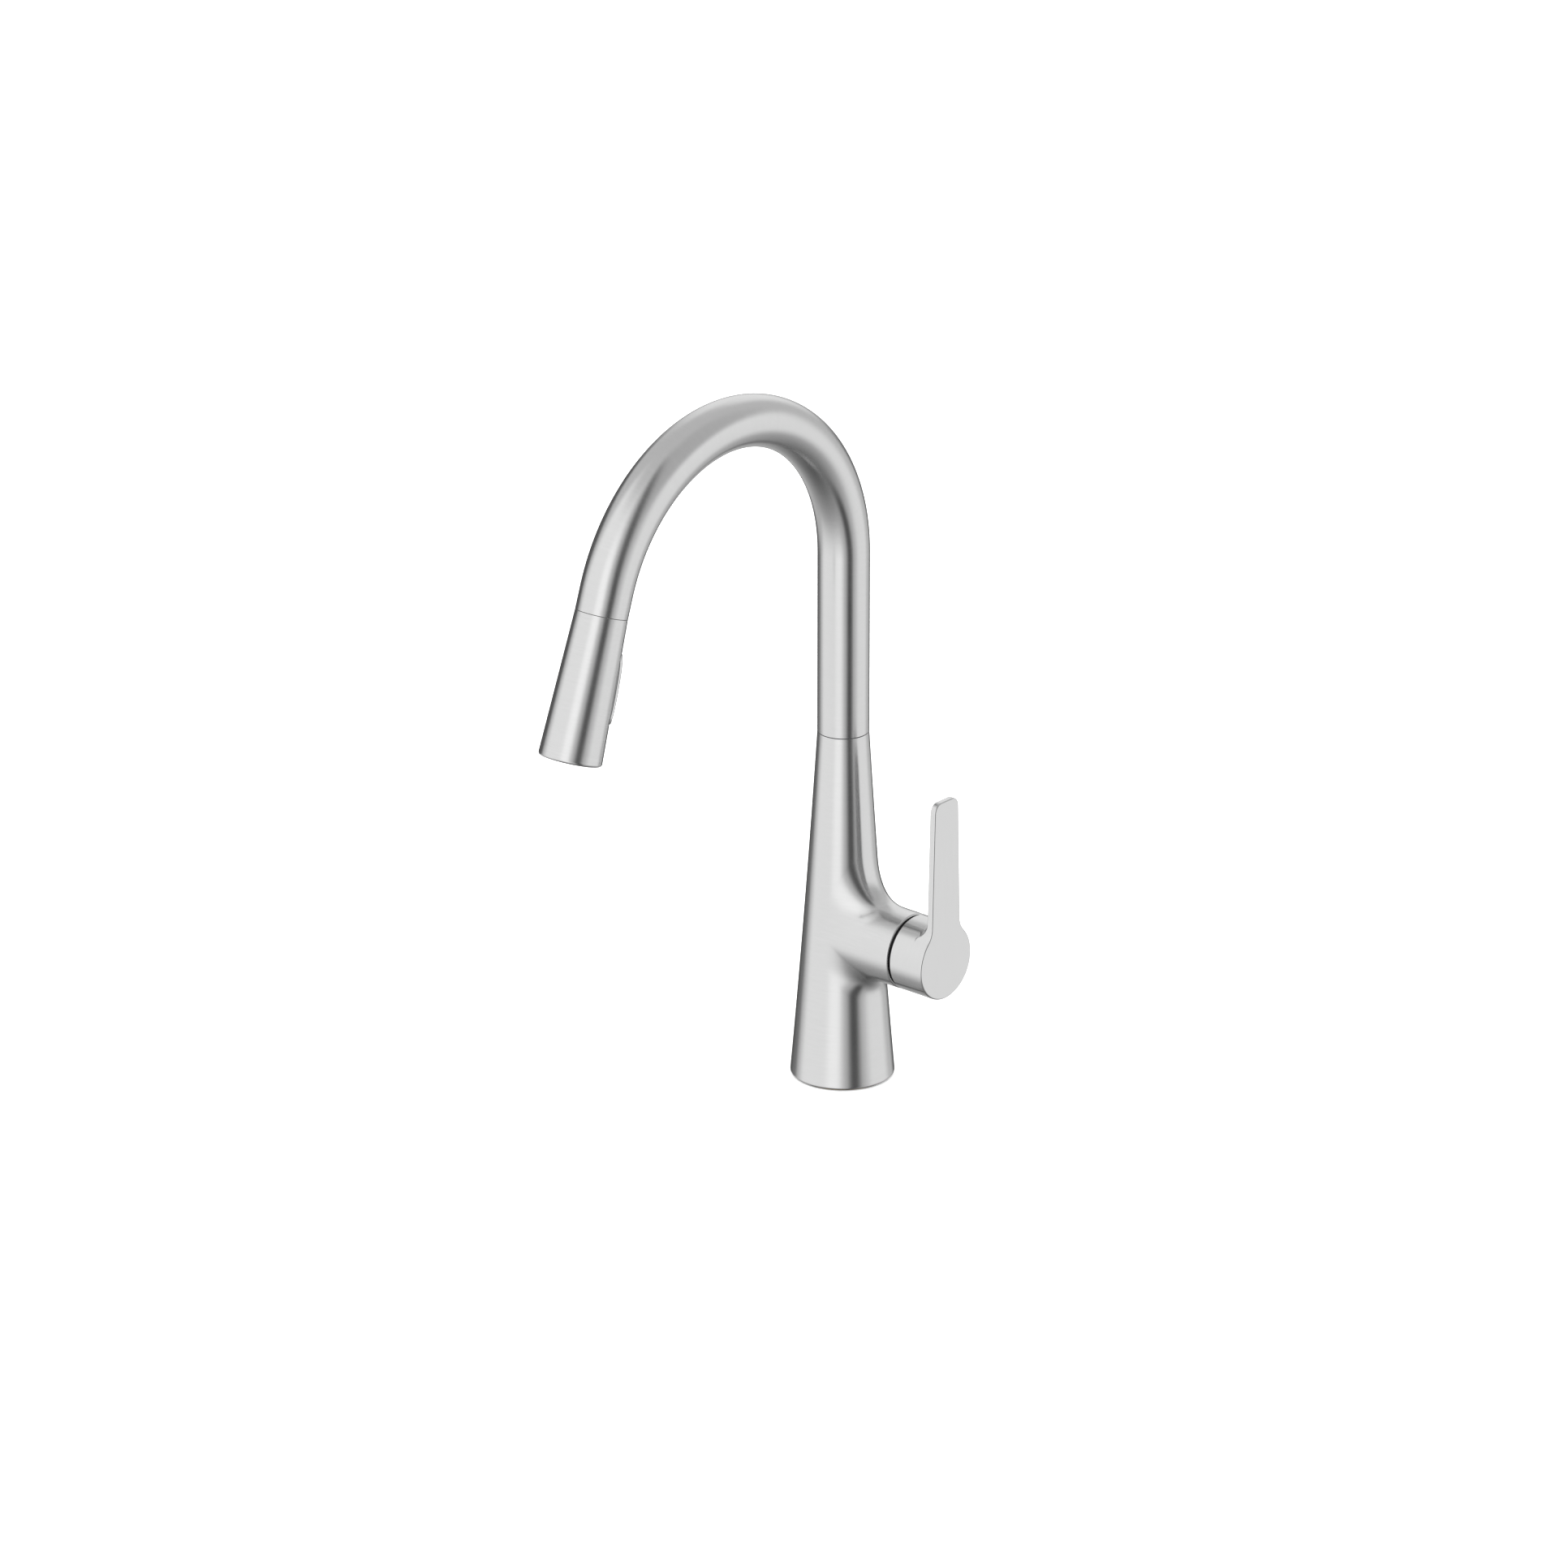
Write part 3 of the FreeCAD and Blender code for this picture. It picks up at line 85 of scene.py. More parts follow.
class Mesh:
    """Points with their own normals, brushing coordinates and spread directions."""

    def __init__(self):
        self.p, self.n, self.c, self.d, self.f = [], [], [], [], []
        self.count = 0

    def add(self, P, N, C, D):
        P = np.atleast_2d(P)
        k = len(P)
        self.p.append(P)
        self.n.append(np.broadcast_to(unit(N), (k, 3)))
        self.c.append(np.broadcast_to(C, (k, 3)))
        self.d.append(np.broadcast_to(unit(D), (k, 3)))
        ids = np.arange(self.count, self.count + k)
        self.count += k
        return ids

    def bridge(self, a, b, closed=True):
        k = len(a)
        for i in range(k if closed else k - 1):
            j = (i + 1) % k
            self.f.append((int(a[i]), int(a[j]), int(b[j]), int(b[i])))

    def cap(self, a):
        self.f.append(tuple(int(i) for i in a))

    def build(self, name, material, body, nodes=(), merge=0.004, recalc=True):
        P = np.vstack(self.p) / 1000.0
        me = bpy.data.meshes.new(name)
        me.from_pydata(P.tolist(), [], self.f)
        for label, rows in (("brush", self.c), ("nrm", self.n), ("spread", self.d)):
            at = me.attributes.new(label, "FLOAT_VECTOR", "POINT")
            at.data.foreach_set("vector", np.vstack(rows).astype(np.float32).ravel())
        bm = bmesh.new()
        bm.from_mesh(me)
        bmesh.ops.remove_doubles(bm, verts=bm.verts, dist=merge / 1000.0)
        bmesh.ops.dissolve_degenerate(bm, edges=bm.edges, dist=merge / 2000.0)
        loose = [v for v in bm.verts if not v.link_faces]
        bmesh.ops.delete(bm, geom=loose, context="VERTS")
        if recalc:
            bmesh.ops.recalc_face_normals(bm, faces=bm.faces)
        for f in bm.faces:
            f.smooth = True
        bm.to_mesh(me)
        bm.free()
        nr = np.zeros(len(me.vertices) * 3, np.float32)
        me.attributes["nrm"].data.foreach_get("vector", nr)
        nr = nr.reshape(-1, 3)
        geo = np.zeros(len(me.vertices) * 3, np.float32)
        me.vertex_normals.foreach_get("vector", geo)
        against = (nr * geo.reshape(-1, 3)).sum(1) < 0
        nr[against] *= -1.0
        me.normals_split_custom_set_from_vertices(nr.tolist())
        me.attributes.remove(me.attributes["nrm"])
        me.materials.append(material)
        ob = bpy.data.objects.new(name, me)
        scene.collection.objects.link(ob)
        if body:
            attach(ob, body)
        if nodes:
            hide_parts(*nodes)
        return ob


def rounded(points, seg=4, closed=True):
    """Polygon (r, a, fillet) to points and outward normals (r, a, nr, na), walls included."""
    pts = [np.array(p[:2], float) for p in points]
    fil = [p[2] for p in points]
    k = len(pts)
    area = sum(pts[i][0] * pts[(i + 1) % k][1] - pts[(i + 1) % k][0] * pts[i][1] for i in range(k))
    side = 1.0 if area > 0 else -1.0
    out = []
    for i in range(k):
        if not closed and i in (0, k - 1):
            q = pts[1] - pts[0] if i == 0 else pts[-1] - pts[-2]
            q = q / np.linalg.norm(q)
            out.append((pts[i][0], pts[i][1], side * q[1], -side * q[0]))
            continue
        a, b, c = pts[i - 1], pts[i], pts[(i + 1) % k]
        u, v = (a - b) / np.linalg.norm(a - b), (c - b) / np.linalg.norm(c - b)
        n0 = side * np.array([-u[1], u[0]])
        n1 = side * np.array([v[1], -v[0]])
        ang = math.acos(max(-1, min(1, float(u @ v))))
        r = fil[i]
        cut = r / math.tan(ang / 2)
        s, e = b + u * cut, b + v * cut
        centre = b + unit(u + v) * (r / math.sin(ang / 2))
        g0, g1 = (s - centre) / r, (e - centre) / r
        om = math.acos(max(-1, min(1, float(g0 @ g1))))
        for t in range(seg + 1):
            w = t / seg
            g = (math.sin((1 - w) * om) * g0 + math.sin(w * om) * g1) / math.sin(om)
            p = centre + g * r
            nn = g if float(g0 @ n0) > 0 else -g
            out.append((p[0], p[1], nn[0], nn[1]))
    return out


def hole_patch(mesh, border_ids, border_uv, hole_uv, surface, rings):
    """Fills between a rectangle's border on a grid and the hole's outline."""
    last = border_ids
    for k in range(1, rings + 1):
        w = k / rings
        ids = mesh.add(*surface(border_uv * (1 - w) + hole_uv * w))
        mesh.bridge(last, ids)
        last = ids
    return last


def border(grid, c0, c1, r0, r1, wrap):
    """Vertex ids and (column, row) pairs round a rectangle of the grid."""
    steps = [(c, r0) for c in range(c0, c1)] + [(c1, r) for r in range(r0, r1)]
    steps += [(c, r1) for c in range(c1, c0, -1)] + [(c0, r) for r in range(r1, r0, -1)]
    return np.array([grid[r][c % wrap] for c, r in steps]), steps


def lay_grid(mesh, rings, c0, c1, r0, r1, wrap):
    """Joins the rings of a closed grid, leaving the rectangle open."""
    inside = {c % wrap for c in range(c0, c1)}
    for r in range(len(rings) - 1):
        for c in range(wrap):
            if r0 <= r < r1 and c in inside:
                continue
            d = (c + 1) % wrap
            mesh.f.append((int(rings[r][c]), int(rings[r][d]), int(rings[r + 1][d]), int(rings[r + 1][c])))


# --------------------------------------------------------------- materials
def nodes_of(name):
    m = bpy.data.materials.new(name)
    m.use_nodes = True
    nt = m.node_tree
    nt.nodes.clear()
    out = nt.nodes.new("ShaderNodeOutputMaterial")
    bs = nt.nodes.new("ShaderNodeBsdfPrincipled")
    nt.links.new(bs.outputs[0], out.inputs[0])
    return m, nt, bs


def node(nt, kind, **values):
    n = nt.nodes.new(kind)
    for k, v in values.items():
        if k.startswith("i_"):
            key = k[2:]
            n.inputs[int(key) if key.isdigit() else key.replace("_", " ")].default_value = v
        else:
            setattr(n, k, v)
    return n


def ramp(nt, fac, stops, mode="EASE"):
    r = nt.nodes.new("ShaderNodeValToRGB")
    r.color_ramp.interpolation = mode
    e = r.color_ramp.elements
    e[0].position, e[0].color = stops[0][0], (*[stops[0][1]] * 3, 1) if not isinstance(stops[0][1], tuple) else (*stops[0][1], 1)
    e[1].position, e[1].color = stops[-1][0], (*[stops[-1][1]] * 3, 1) if not isinstance(stops[-1][1], tuple) else (*stops[-1][1], 1)
    for pos, val in stops[1:-1]:
        el = e.new(pos)
        el.color = (*val, 1) if isinstance(val, tuple) else (val, val, val, 1)
    if fac is not None:
        nt.links.new(fac, r.inputs[0])
    return r


def brushed(name, colour=0.62, rough=0.225, aniso=0.5, fine=1.0, tint=(1.0, 1.0, 1.0)):
    """Brushed stainless steel: fine scratches run round the piece and carry the
    colour, the roughness and the bump; the reflections spread across them."""
    m, nt, bs = nodes_of(name)
    L = nt.links.new
    co = node(nt, "ShaderNodeAttribute", attribute_name="brush", attribute_type="GEOMETRY")
    mapping = node(nt, "ShaderNodeMapping")
    mapping.inputs["Scale"].default_value = (0.055, 0.055, 1.9)
    L(co.outputs["Vector"], mapping.inputs["Vector"])
    n1 = node(nt, "ShaderNodeTexNoise", i_Scale=1.0, i_Detail=3.0, i_Roughness=0.6)
    L(mapping.outputs[0], n1.inputs["Vector"])
    mapping2 = node(nt, "ShaderNodeMapping")
    mapping2.inputs["Scale"].default_value = (0.16, 0.16, 7.0)
    L(co.outputs["Vector"], mapping2.inputs["Vector"])
    n2 = node(nt, "ShaderNodeTexNoise", i_Scale=1.0, i_Detail=2.0, i_Roughness=0.5)
    L(mapping2.outputs[0], n2.inputs["Vector"])
    # broad, faint cloudiness left by handling
    mapping3 = node(nt, "ShaderNodeMapping")
    mapping3.inputs["Scale"].default_value = (0.035, 0.035, 0.045)
    L(co.outputs["Vector"], mapping3.inputs["Vector"])
    n3 = node(nt, "ShaderNodeTexNoise", i_Scale=1.0, i_Detail=2.0)
    L(mapping3.outputs[0], n3.inputs["Vector"])
    add = node(nt, "ShaderNodeMath", operation="ADD")
    L(n1.outputs[0], add.inputs[0])
    L(n2.outputs[0], add.inputs[1])
    half = node(nt, "ShaderNodeMath", operation="MULTIPLY", i_1=0.5)
    L(add.outputs[0], half.inputs[0])
    lo, hi = colour - 0.017 * fine, colour + 0.017 * fine
    cr = ramp(nt, half.outputs[0], [(0.34, tuple(lo * t for t in tint)), (0.66, tuple(hi * t for t in tint))], "LINEAR")
    L(cr.outputs[0], bs.inputs["Base Color"])
    mix = node(nt, "ShaderNodeMath", operation="MULTIPLY_ADD", i_1=0.06 * fine, i_2=rough - 0.03 * fine)
    L(half.outputs[0], mix.inputs[0])
    mix2 = node(nt, "ShaderNodeMath", operation="MULTIPLY_ADD", i_1=0.05)
    L(n3.outputs[0], mix2.inputs[0])
    L(mix.outputs[0], mix2.inputs[2])
    off = node(nt, "ShaderNodeMath", operation="SUBTRACT", i_1=0.025)
    L(mix2.outputs[0], off.inputs[0])
    L(off.outputs[0], bs.inputs["Roughness"])
    bump = node(nt, "ShaderNodeBump", i_Strength=0.07 * fine, i_Distance=0.000006)
    L(half.outputs[0], bump.inputs["Height"])
    L(bump.outputs[0], bs.inputs["Normal"])
    sp = node(nt, "ShaderNodeAttribute", attribute_name="spread", attribute_type="GEOMETRY")
    tr = node(nt, "ShaderNodeVectorTransform", vector_type="VECTOR", convert_from="OBJECT", convert_to="WORLD")
    L(sp.outputs["Vector"], tr.inputs[0])
    L(tr.outputs[0], bs.inputs["Tangent"])
    bs.inputs["Metallic"].default_value = 1.0
    bs.inputs["Anisotropic"].default_value = aniso
    bs.inputs["Specular IOR Level"].default_value = 0.5
    return m


def plain(name, colour, rough, metallic=0.0, scale=900.0, vary=0.06, bump=0.1, rings=0.0, coat=0.0):
    """Moulded plastic, rubber, ceramic or machined metal with its own grain."""
    m, nt, bs = nodes_of(name)
    L = nt.links.new
    co = node(nt, "ShaderNodeTexCoord")
    n1 = node(nt, "ShaderNodeTexNoise", i_Scale=scale, i_Detail=3.0, i_Roughness=0.55)
    L(co.outputs["Object"], n1.inputs["Vector"])
    n2 = node(nt, "ShaderNodeTexNoise", i_Scale=scale * 0.06, i_Detail=2.0)
    L(co.outputs["Object"], n2.inputs["Vector"])
    lo = tuple(max(0.0, c * (1 - vary)) for c in colour)
    hi = tuple(min(1.0, c * (1 + vary)) for c in colour)
    cr = ramp(nt, n2.outputs[0], [(0.3, lo), (0.7, hi)], "LINEAR")
    L(cr.outputs[0], bs.inputs["Base Color"])
    rr = node(nt, "ShaderNodeMath", operation="MULTIPLY_ADD", i_1=0.16, i_2=rough - 0.08)
    L(n1.outputs[0], rr.inputs[0])
    L(rr.outputs[0], bs.inputs["Roughness"])
    height = n1.outputs[0]
    if rings:
        # turning marks
        sep = node(nt, "ShaderNodeSeparateXYZ")
        L(co.outputs["Object"], sep.inputs[0])
        wv = node(nt, "ShaderNodeMath", operation="MULTIPLY", i_1=rings)
        L(sep.outputs[2], wv.inputs[0])
        sn = node(nt, "ShaderNodeMath", operation="SINE")
        L(wv.outputs[0], sn.inputs[0])
        mx = node(nt, "ShaderNodeMath", operation="ADD")
        L(n1.outputs[0], mx.inputs[0])
        L(sn.outputs[0], mx.inputs[1])
        height = mx.outputs[0]
    bp = node(nt, "ShaderNodeBump", i_Strength=bump, i_Distance=0.0001)
    L(height, bp.inputs["Height"])
    L(bp.outputs[0], bs.inputs["Normal"])
    bs.inputs["Metallic"].default_value = metallic
    if coat:
        bs.inputs["Coat Weight"].default_value = coat
    return m


def braid(name):
    """Woven nylon over the hose: two sets of yarns crossing on a slant."""
    m, nt, bs = nodes_of(name)
    L = nt.links.new
    co = node(nt, "ShaderNodeAttribute", attribute_name="brush", attribute_type="GEOMETRY")
    sep = node(nt, "ShaderNodeSeparateXYZ")
    L(co.outputs["Vector"], sep.inputs[0])
    rows = []
    for sign in (1.0, -1.0):
        a = node(nt, "ShaderNodeMath", operation="MULTIPLY", i_1=sign * 12.0)
        L(sep.outputs[0], a.inputs[0])
        b = node(nt, "ShaderNodeMath", operation="MULTIPLY_ADD", i_1=2.0 * math.pi / 2.6)
        L(sep.outputs[2], b.inputs[0])
        L(a.outputs[0], b.inputs[2])
        s = node(nt, "ShaderNodeMath", operation="SINE")
        L(b.outputs[0], s.inputs[0])
        rows.append(s)
    over = node(nt, "ShaderNodeMath", operation="MAXIMUM")
    L(rows[0].outputs[0], over.inputs[0])
    L(rows[1].outputs[0], over.inputs[1])
    nz = node(nt, "ShaderNodeTexNoise", i_Scale=5.0, i_Detail=3.0)
    L(co.outputs["Vector"], nz.inputs["Vector"])
    ad = node(nt, "ShaderNodeMath", operation="MULTIPLY_ADD", i_1=0.3)
    L(nz.outputs[0], ad.inputs[0])
    L(over.outputs[0], ad.inputs[2])
    cr = ramp(nt, ad.outputs[0], [(0.0, (0.09, 0.09, 0.095)), (0.55, (0.30, 0.30, 0.31)), (1.0, (0.46, 0.46, 0.47))], "LINEAR")
    L(cr.outputs[0], bs.inputs["Base Color"])
    bp = node(nt, "ShaderNodeBump", i_Strength=0.6, i_Distance=0.0003)
    L(ad.outputs[0], bp.inputs["Height"])
    L(bp.outputs[0], bs.inputs["Normal"])
    bs.inputs["Roughness"].default_value = 0.62
    bs.inputs["Sheen Weight"].default_value = 0.25
    return m


steel_body = brushed("brushed_body")
steel_spout = brushed("brushed_spout")
steel_head = brushed("brushed_head")
steel_lever = brushed("brushed_lever", rough=0.14, aniso=0.3, fine=0.7)
button_mat = brushed("button_satin", colour=0.66, rough=0.18, aniso=0.2, fine=0.5)
slots = {
    "brass": plain("brass", (0.72, 0.56, 0.28), 0.3, 1.0, 700.0, 0.05, 0.08, 9000.0),
    "nut_brass": plain("nut_brass", (0.70, 0.55, 0.30), 0.36, 1.0, 900.0, 0.07, 0.12, 7000.0),
    "steel": plain("steel", (0.58, 0.58, 0.60), 0.3, 1.0, 900.0, 0.05, 0.08, 8000.0),
    "black_rubber": plain("black_rubber", (0.03, 0.03, 0.03), 0.62, 0.0, 1400.0, 0.2, 0.2),
    "white_plastic": plain("white_plastic", (0.60, 0.60, 0.58), 0.42, 0.0, 1100.0, 0.03, 0.08),
    "ceramic": plain("ceramic", (0.88, 0.87, 0.84), 0.2, 0.0, 1500.0, 0.02, 0.03, 0.0, 0.3),
    "dark_plastic": plain("dark_plastic", (0.022, 0.022, 0.024), 0.5, 0.0, 1200.0, 0.15, 0.15),
    "button_grey": plain("button_grey", (0.55, 0.55, 0.56), 0.3, 1.0, 1200.0, 0.03, 0.05),
    "nozzle_grey": plain("nozzle_grey", (0.22, 0.22, 0.23), 0.55, 0.0, 1600.0, 0.1, 0.15),
    "aerator_grey": plain("aerator_grey", (0.16, 0.16, 0.17), 0.45, 0.0, 1500.0, 0.1, 0.2),
    "spray_grey": plain("spray_grey", (0.34, 0.34, 0.35), 0.38, 0.0, 1400.0, 0.05, 0.1),
}
hose_mat = braid("hose_braid")

# ------------------------------------------------------- body with its boss
COLS = 128
TURN = 2 * math.pi * np.arange(COLS) / COLS


def cone_r(z):
    u = (z - 1.6) / 197.0
    return 28.3 - 14.3 * u - 0.61 * 4 * u * (1 - u)


def cone_n(z):
    u = (z - 1.6) / 197.0
    s = (-14.3 - 2.44 * (1 - 2 * u)) / 197.0
    k = np.sqrt(1 + s * s)
    return 1 / k, -s / k


def around_z(P, N):
    """Spread direction and brushing coordinates for lines that run round Z."""
    rho = np.hypot(P[:, 0], P[:, 1])
    circ = np.stack([-P[:, 1], P[:, 0], np.zeros(len(P))], 1) / np.maximum(rho, 1e-6)[:, None]
    D = np.cross(N, circ)
    C = np.stack([P[:, 0], P[:, 1], P[:, 2]], 1)
    return C, D


def cone_at(uv):
    th, z = uv[:, 0], uv[:, 1]
    r = cone_r(z)
    nr, nz = cone_n(z)
    P = np.stack([r * np.cos(th), r * np.sin(th), z], 1)
    N = np.stack([nr * np.cos(th), nr * np.sin(th), nz], 1)
    C, D = around_z(P, N)
    return P, N, C, D


body = Mesh()
gam = math.atan2(cone_n(1.7)[1], cone_n(1.7)[0])
rings = []
for k in range(8):
    a = -math.pi / 2 + (math.pi / 2 + gam) * k / 7
    P = np.stack([(26.7 + 1.6 * math.cos(a)) * np.cos(TURN), (26.7 + 1.6 * math.cos(a)) * np.sin(TURN), np.full(COLS, 1.6 + 1.6 * math.sin(a))], 1)
    N = np.stack([math.cos(a) * np.cos(TURN), math.cos(a) * np.sin(TURN), np.full(COLS, math.sin(a))], 1)
    C, D = around_z(P, N)
    rings.append(body.add(P, N, C, D))
heights = np.concatenate([np.linspace(2.2, 42, 18), np.linspace(44, 150, 54), np.linspace(152.5, 198.45, 20)])
zs = [None] * 8 + list(heights)
for z in heights:
    rings.append(body.add(*cone_at(np.stack([TURN, np.full(COLS, z)], 1))))
# rounded top edge
for k in range(1, 5):
    a = math.pi / 2 * k / 4
    r, z = cone_r(198.45) - 0.15 + 0.15 * math.cos(a), 198.45 + 0.15 * math.sin(a)
    P = np.stack([r * np.cos(TURN), r * np.sin(TURN), np.full(COLS, z)], 1)
    N = np.stack([math.cos(a) * np.cos(TURN), math.cos(a) * np.sin(TURN), np.full(COLS, math.sin(a))], 1)
    C, D = around_z(P, N)
    rings.append(body.add(P, N, C, D))
r0 = zs.index(44.0)
r1 = zs.index(150.0)
lay_grid(body, rings, -36, 36, r0, r1, COLS)
ids, steps = border(rings, -36, 36, r0, r1, COLS)
b_uv = np.array([(2 * math.pi * c / COLS, zs[r]) for c, r in steps])


def blend_r(psi):
    return 17.0 + 5.5 * np.cos(psi)


def spine(psi):
    """Centre of the blending ball at angle psi round the boss, and where it touches the cone."""
    r = blend_r(psi)
    yc, zc = (BOSS_R + r) * np.sin(psi), HUB_Z + (BOSS_R + r) * np.cos(psi)
    za = zc - r * 0.075
    for _ in range(12):
        za = zc - r * cone_n(za)[1]
    nr, nz = cone_n(za)
    rho = cone_r(za) + r * nr
    xc = np.sqrt(np.maximum(rho * rho - yc * yc, 0))
    return np.stack([xc, yc, zc], -1), np.arctan2(yc, xc), za


fine = np.linspace(0, 2 * math.pi, 4001)
c_f, th_f, za_f = spine(fine)
ang = np.unwrap(np.arctan2(21.5 * th_f, za_f - 90.0))
want = np.arctan2(21.5 * b_uv[:, 0], b_uv[:, 1] - 90.0)
psi = np.interp(want % (2 * math.pi), ang - ang[0], fine)
c_k, th_k, za_k = spine(psi)
r_k = blend_r(psi)
eps = 1e-4
ca, cb = spine(psi + eps)[0], spine(psi - eps)[0]
T = unit(ca - cb)
rp = (blend_r(psi + eps) - blend_r(psi - eps)) / np.linalg.norm(ca - cb, axis=1)
nr, nz = cone_n(za_k)
ua = -np.stack([nr * np.cos(th_k), nr * np.sin(th_k), nz], 1)
ub = -np.stack([np.zeros_like(psi), np.sin(psi), np.cos(psi)], 1)
wa = unit(ua - (ua * T).sum(1, keepdims=True) * T)
wb = unit(ub - (ub * T).sum(1, keepdims=True) * T)
om = np.arccos(np.clip((wa * wb).sum(1), -1, 1))[:, None]
# The blend eases in on the cone ahead of the ball's contact and runs out along the boss behind it.
lead = r_k * (0.30 + 0.06 * np.cos(psi))
run = r_k * (0.12 - 0.04 * np.cos(psi))
heading = unit(wb - (wb * wa).sum(1, keepdims=True) * wa)
rad_k = cone_r(za_k)
step = np.stack([(heading[:, 1] * np.cos(th_k) - heading[:, 0] * np.sin(th_k)) / rad_k, heading[:, 2]], 1)
room = (1.40 - np.abs(th_k)) / np.maximum(np.abs(step[:, 0]), 1e-3)       # stays on the lever's side of the cone
lead = room * np.tanh(lead / room)
hole_uv = np.stack([th_k, za_k], 1) - lead[:, None] * step
last = hole_patch(body, ids, b_uv, hole_uv, cone_at, 12)
start, n_start = cone_at(hole_uv)[:2]
t_start = unit(cone_at(hole_uv + 0.01 * step)[0] - start)
v = -rp[:, None] * T + np.sqrt(1 - rp[:, None] ** 2) * wb
end = c_k + r_k[:, None] * v + run[:, None] * X
n_end = np.stack([np.zeros_like(psi), np.sin(psi), np.cos(psi)], 1)
reach = r_k * np.tan(om[:, 0] / 2)
la, lb = (reach + lead)[:, None], (reach + run)[:, None]
ctrl = [start, start + 0.4 * la * t_start, start + 0.7 * la * t_start, end - 0.7 * lb * X, end - 0.4 * lb * X, end]
SEGS = 20
curve = []
for k in range(SEGS + 1):
    w = k / SEGS
    curve.append(sum(math.comb(5, n) * (1 - w) ** (5 - n) * w ** n * c for n, c in enumerate(ctrl)))
curve = np.array(curve)
across = np.gradient(curve, axis=0)
around = np.roll(curve, -1, axis=1) - np.roll(curve, 1, axis=1)
normal = unit(np.cross(across, around).reshape(-1, 3)).reshape(curve.shape)
if (normal[SEGS // 2] * (wa + wb)).sum() > 0:
    normal = -normal
normal[0], normal[-1] = n_start, n_end
for k in range(1, SEGS + 1):
    C, D = around_z(curve[k], normal[k])
    ids = body.add(curve[k], normal[k], C, D)
    body.bridge(last, ids)
    last = ids
x_c = end[:, 0]
cp, sp = np.cos(psi), np.sin(psi)


def boss_ring(x, rho, nx, nrho):
    P = np.stack([np.broadcast_to(x, psi.shape), rho * sp, HUB_Z + rho * cp], 1)
    N = np.stack([np.full_like(psi, nx), nrho * sp, nrho * cp], 1)
    C, D = around_z(P, N)
    return body.add(P, N, C, D)


for k in range(1, 9):
    w = k / 8
    ids = boss_ring(x_c * (1 - w) + 47.8 * w, BOSS_R, 0.0, 1.0)
    body.bridge(last, ids)
    last = ids
prof = rounded([(BOSS_R, 47.8, 0), (BOSS_R, BOSS_END, 0.999), (17.6, BOSS_END, 0.3), (17.6, 11.0, 0.3), (0.0, 11.0, 0)], 5, False)
for r, x, nr_, nx_ in prof[1:-1]:
    ids = boss_ring(x, r, nx_, nr_)
    body.bridge(last, ids)
    last = ids
ids = boss_ring(11.0, 17.0, 1.0, 0.0)
body.bridge(last, ids)
body.cap(ids)
# inside, from the neck down to the foot
prof = rounded([(13.6, BODY_TOP, 0), (12.6, BODY_TOP, 0.2), (12.6, 150, 0.2), (10.0, 150, 0.2), (10.0, 112, 0.2), (5.3, 106, 0.2), (5.3, 40, 0.2),
                (22.6, 40, 0.3), (22.6, 14, 0.2), (25.0, 14, 0.2), (25.0, 0.0, 0.25), (26.6, 0.0, 0)], 3, False)
last = rings[-1]
for r, z, nr_, nz_ in prof[1:-1]:
    P = np.stack([r * np.cos(TURN), r * np.sin(TURN), np.full(COLS, z)], 1)
    N = np.stack([nr_ * np.cos(TURN), nr_ * np.sin(TURN), np.full(COLS, nz_)], 1)
    C, D = around_z(P, N)
    ids = body.add(P, N, C, D)
    body.bridge(last, ids)
    last = ids
body.bridge(last, rings[0])
body_ob = body.build("Body_Casting", steel_body, "body", ["body_shell"])

# ------------------------------------------------------------------- spout
tube = Mesh()
LOW = BODY_TOP + 0.4
RISE = RISER_TOP - LOW
ARC = ARCH_R * TH
WHOLE = RISE + ARC + TAIL


def path_at(s):
    """Point, tangent and outward direction along the spout's centre line; s is zero at its foot."""
    if s <= RISE:
        return np.array([0, 0, LOW + s]), Z, Y
    if s <= RISE + ARC:
        a = (s - RISE) / ARCH_R
        out = np.array([0, math.cos(a), math.sin(a)])
        return np.array([0, -ARCH_R, RISER_TOP]) + ARCH_R * out, np.array([0, -math.sin(a), math.cos(a)]), out
    q = s - RISE - ARC
    end = np.array([0, -ARCH_R + ARCH_R * math.cos(TH), RISER_TOP + ARCH_R * math.sin(TH)])
    return end + q * HEAD_AXIS, HEAD_AXIS, -HEAD_REAR


TURN_T = 2 * math.pi * np.arange(112) / 112
ends = rounded([(TUBE_R - TUBE_WALL, 0, 0.25), (TUBE_R, 0, 0.12), (TUBE_R, WHOLE, 0.12), (TUBE_R - TUBE_WALL, WHOLE, 0.25)], 4)
outer_rows = [(TUBE_R, s, 1.0, 0.0) for s in np.concatenate([np.linspace(2, RISE, 26), np.linspace(RISE, RISE + ARC, 150)[1:], np.linspace(RISE + ARC, WHOLE - 1, 6)[1:]])]
inner_rows = [(TUBE_R - TUBE_WALL, s, -1.0, 0.0) for s in np.concatenate([np.linspace(2, RISE, 6), np.linspace(RISE, RISE + ARC, 90)[1:], np.linspace(RISE + ARC, WHOLE - 1, 3)[1:]])][::-1]
rows = ends[5:10] + outer_rows + ends[10:15] + ends[15:20] + inner_rows + ends[0:5]
tr = []
for r, s, nr_, ns_ in rows:
    p, t, out = path_at(min(max(s, 0), WHOLE))
    c_, s_ = np.cos(TURN_T)[:, None], np.sin(TURN_T)[:, None]
    rad = c_ * out + s_ * X
    circ = -s_ * out + c_ * X
    N = nr_ * rad + ns_ * t
    C = np.hstack([TUBE_R * c_, TUBE_R * s_, np.full_like(c_, s + 200.0)])
    tr.append(tube.add(p + r * rad, N, C, np.cross(N, circ)))
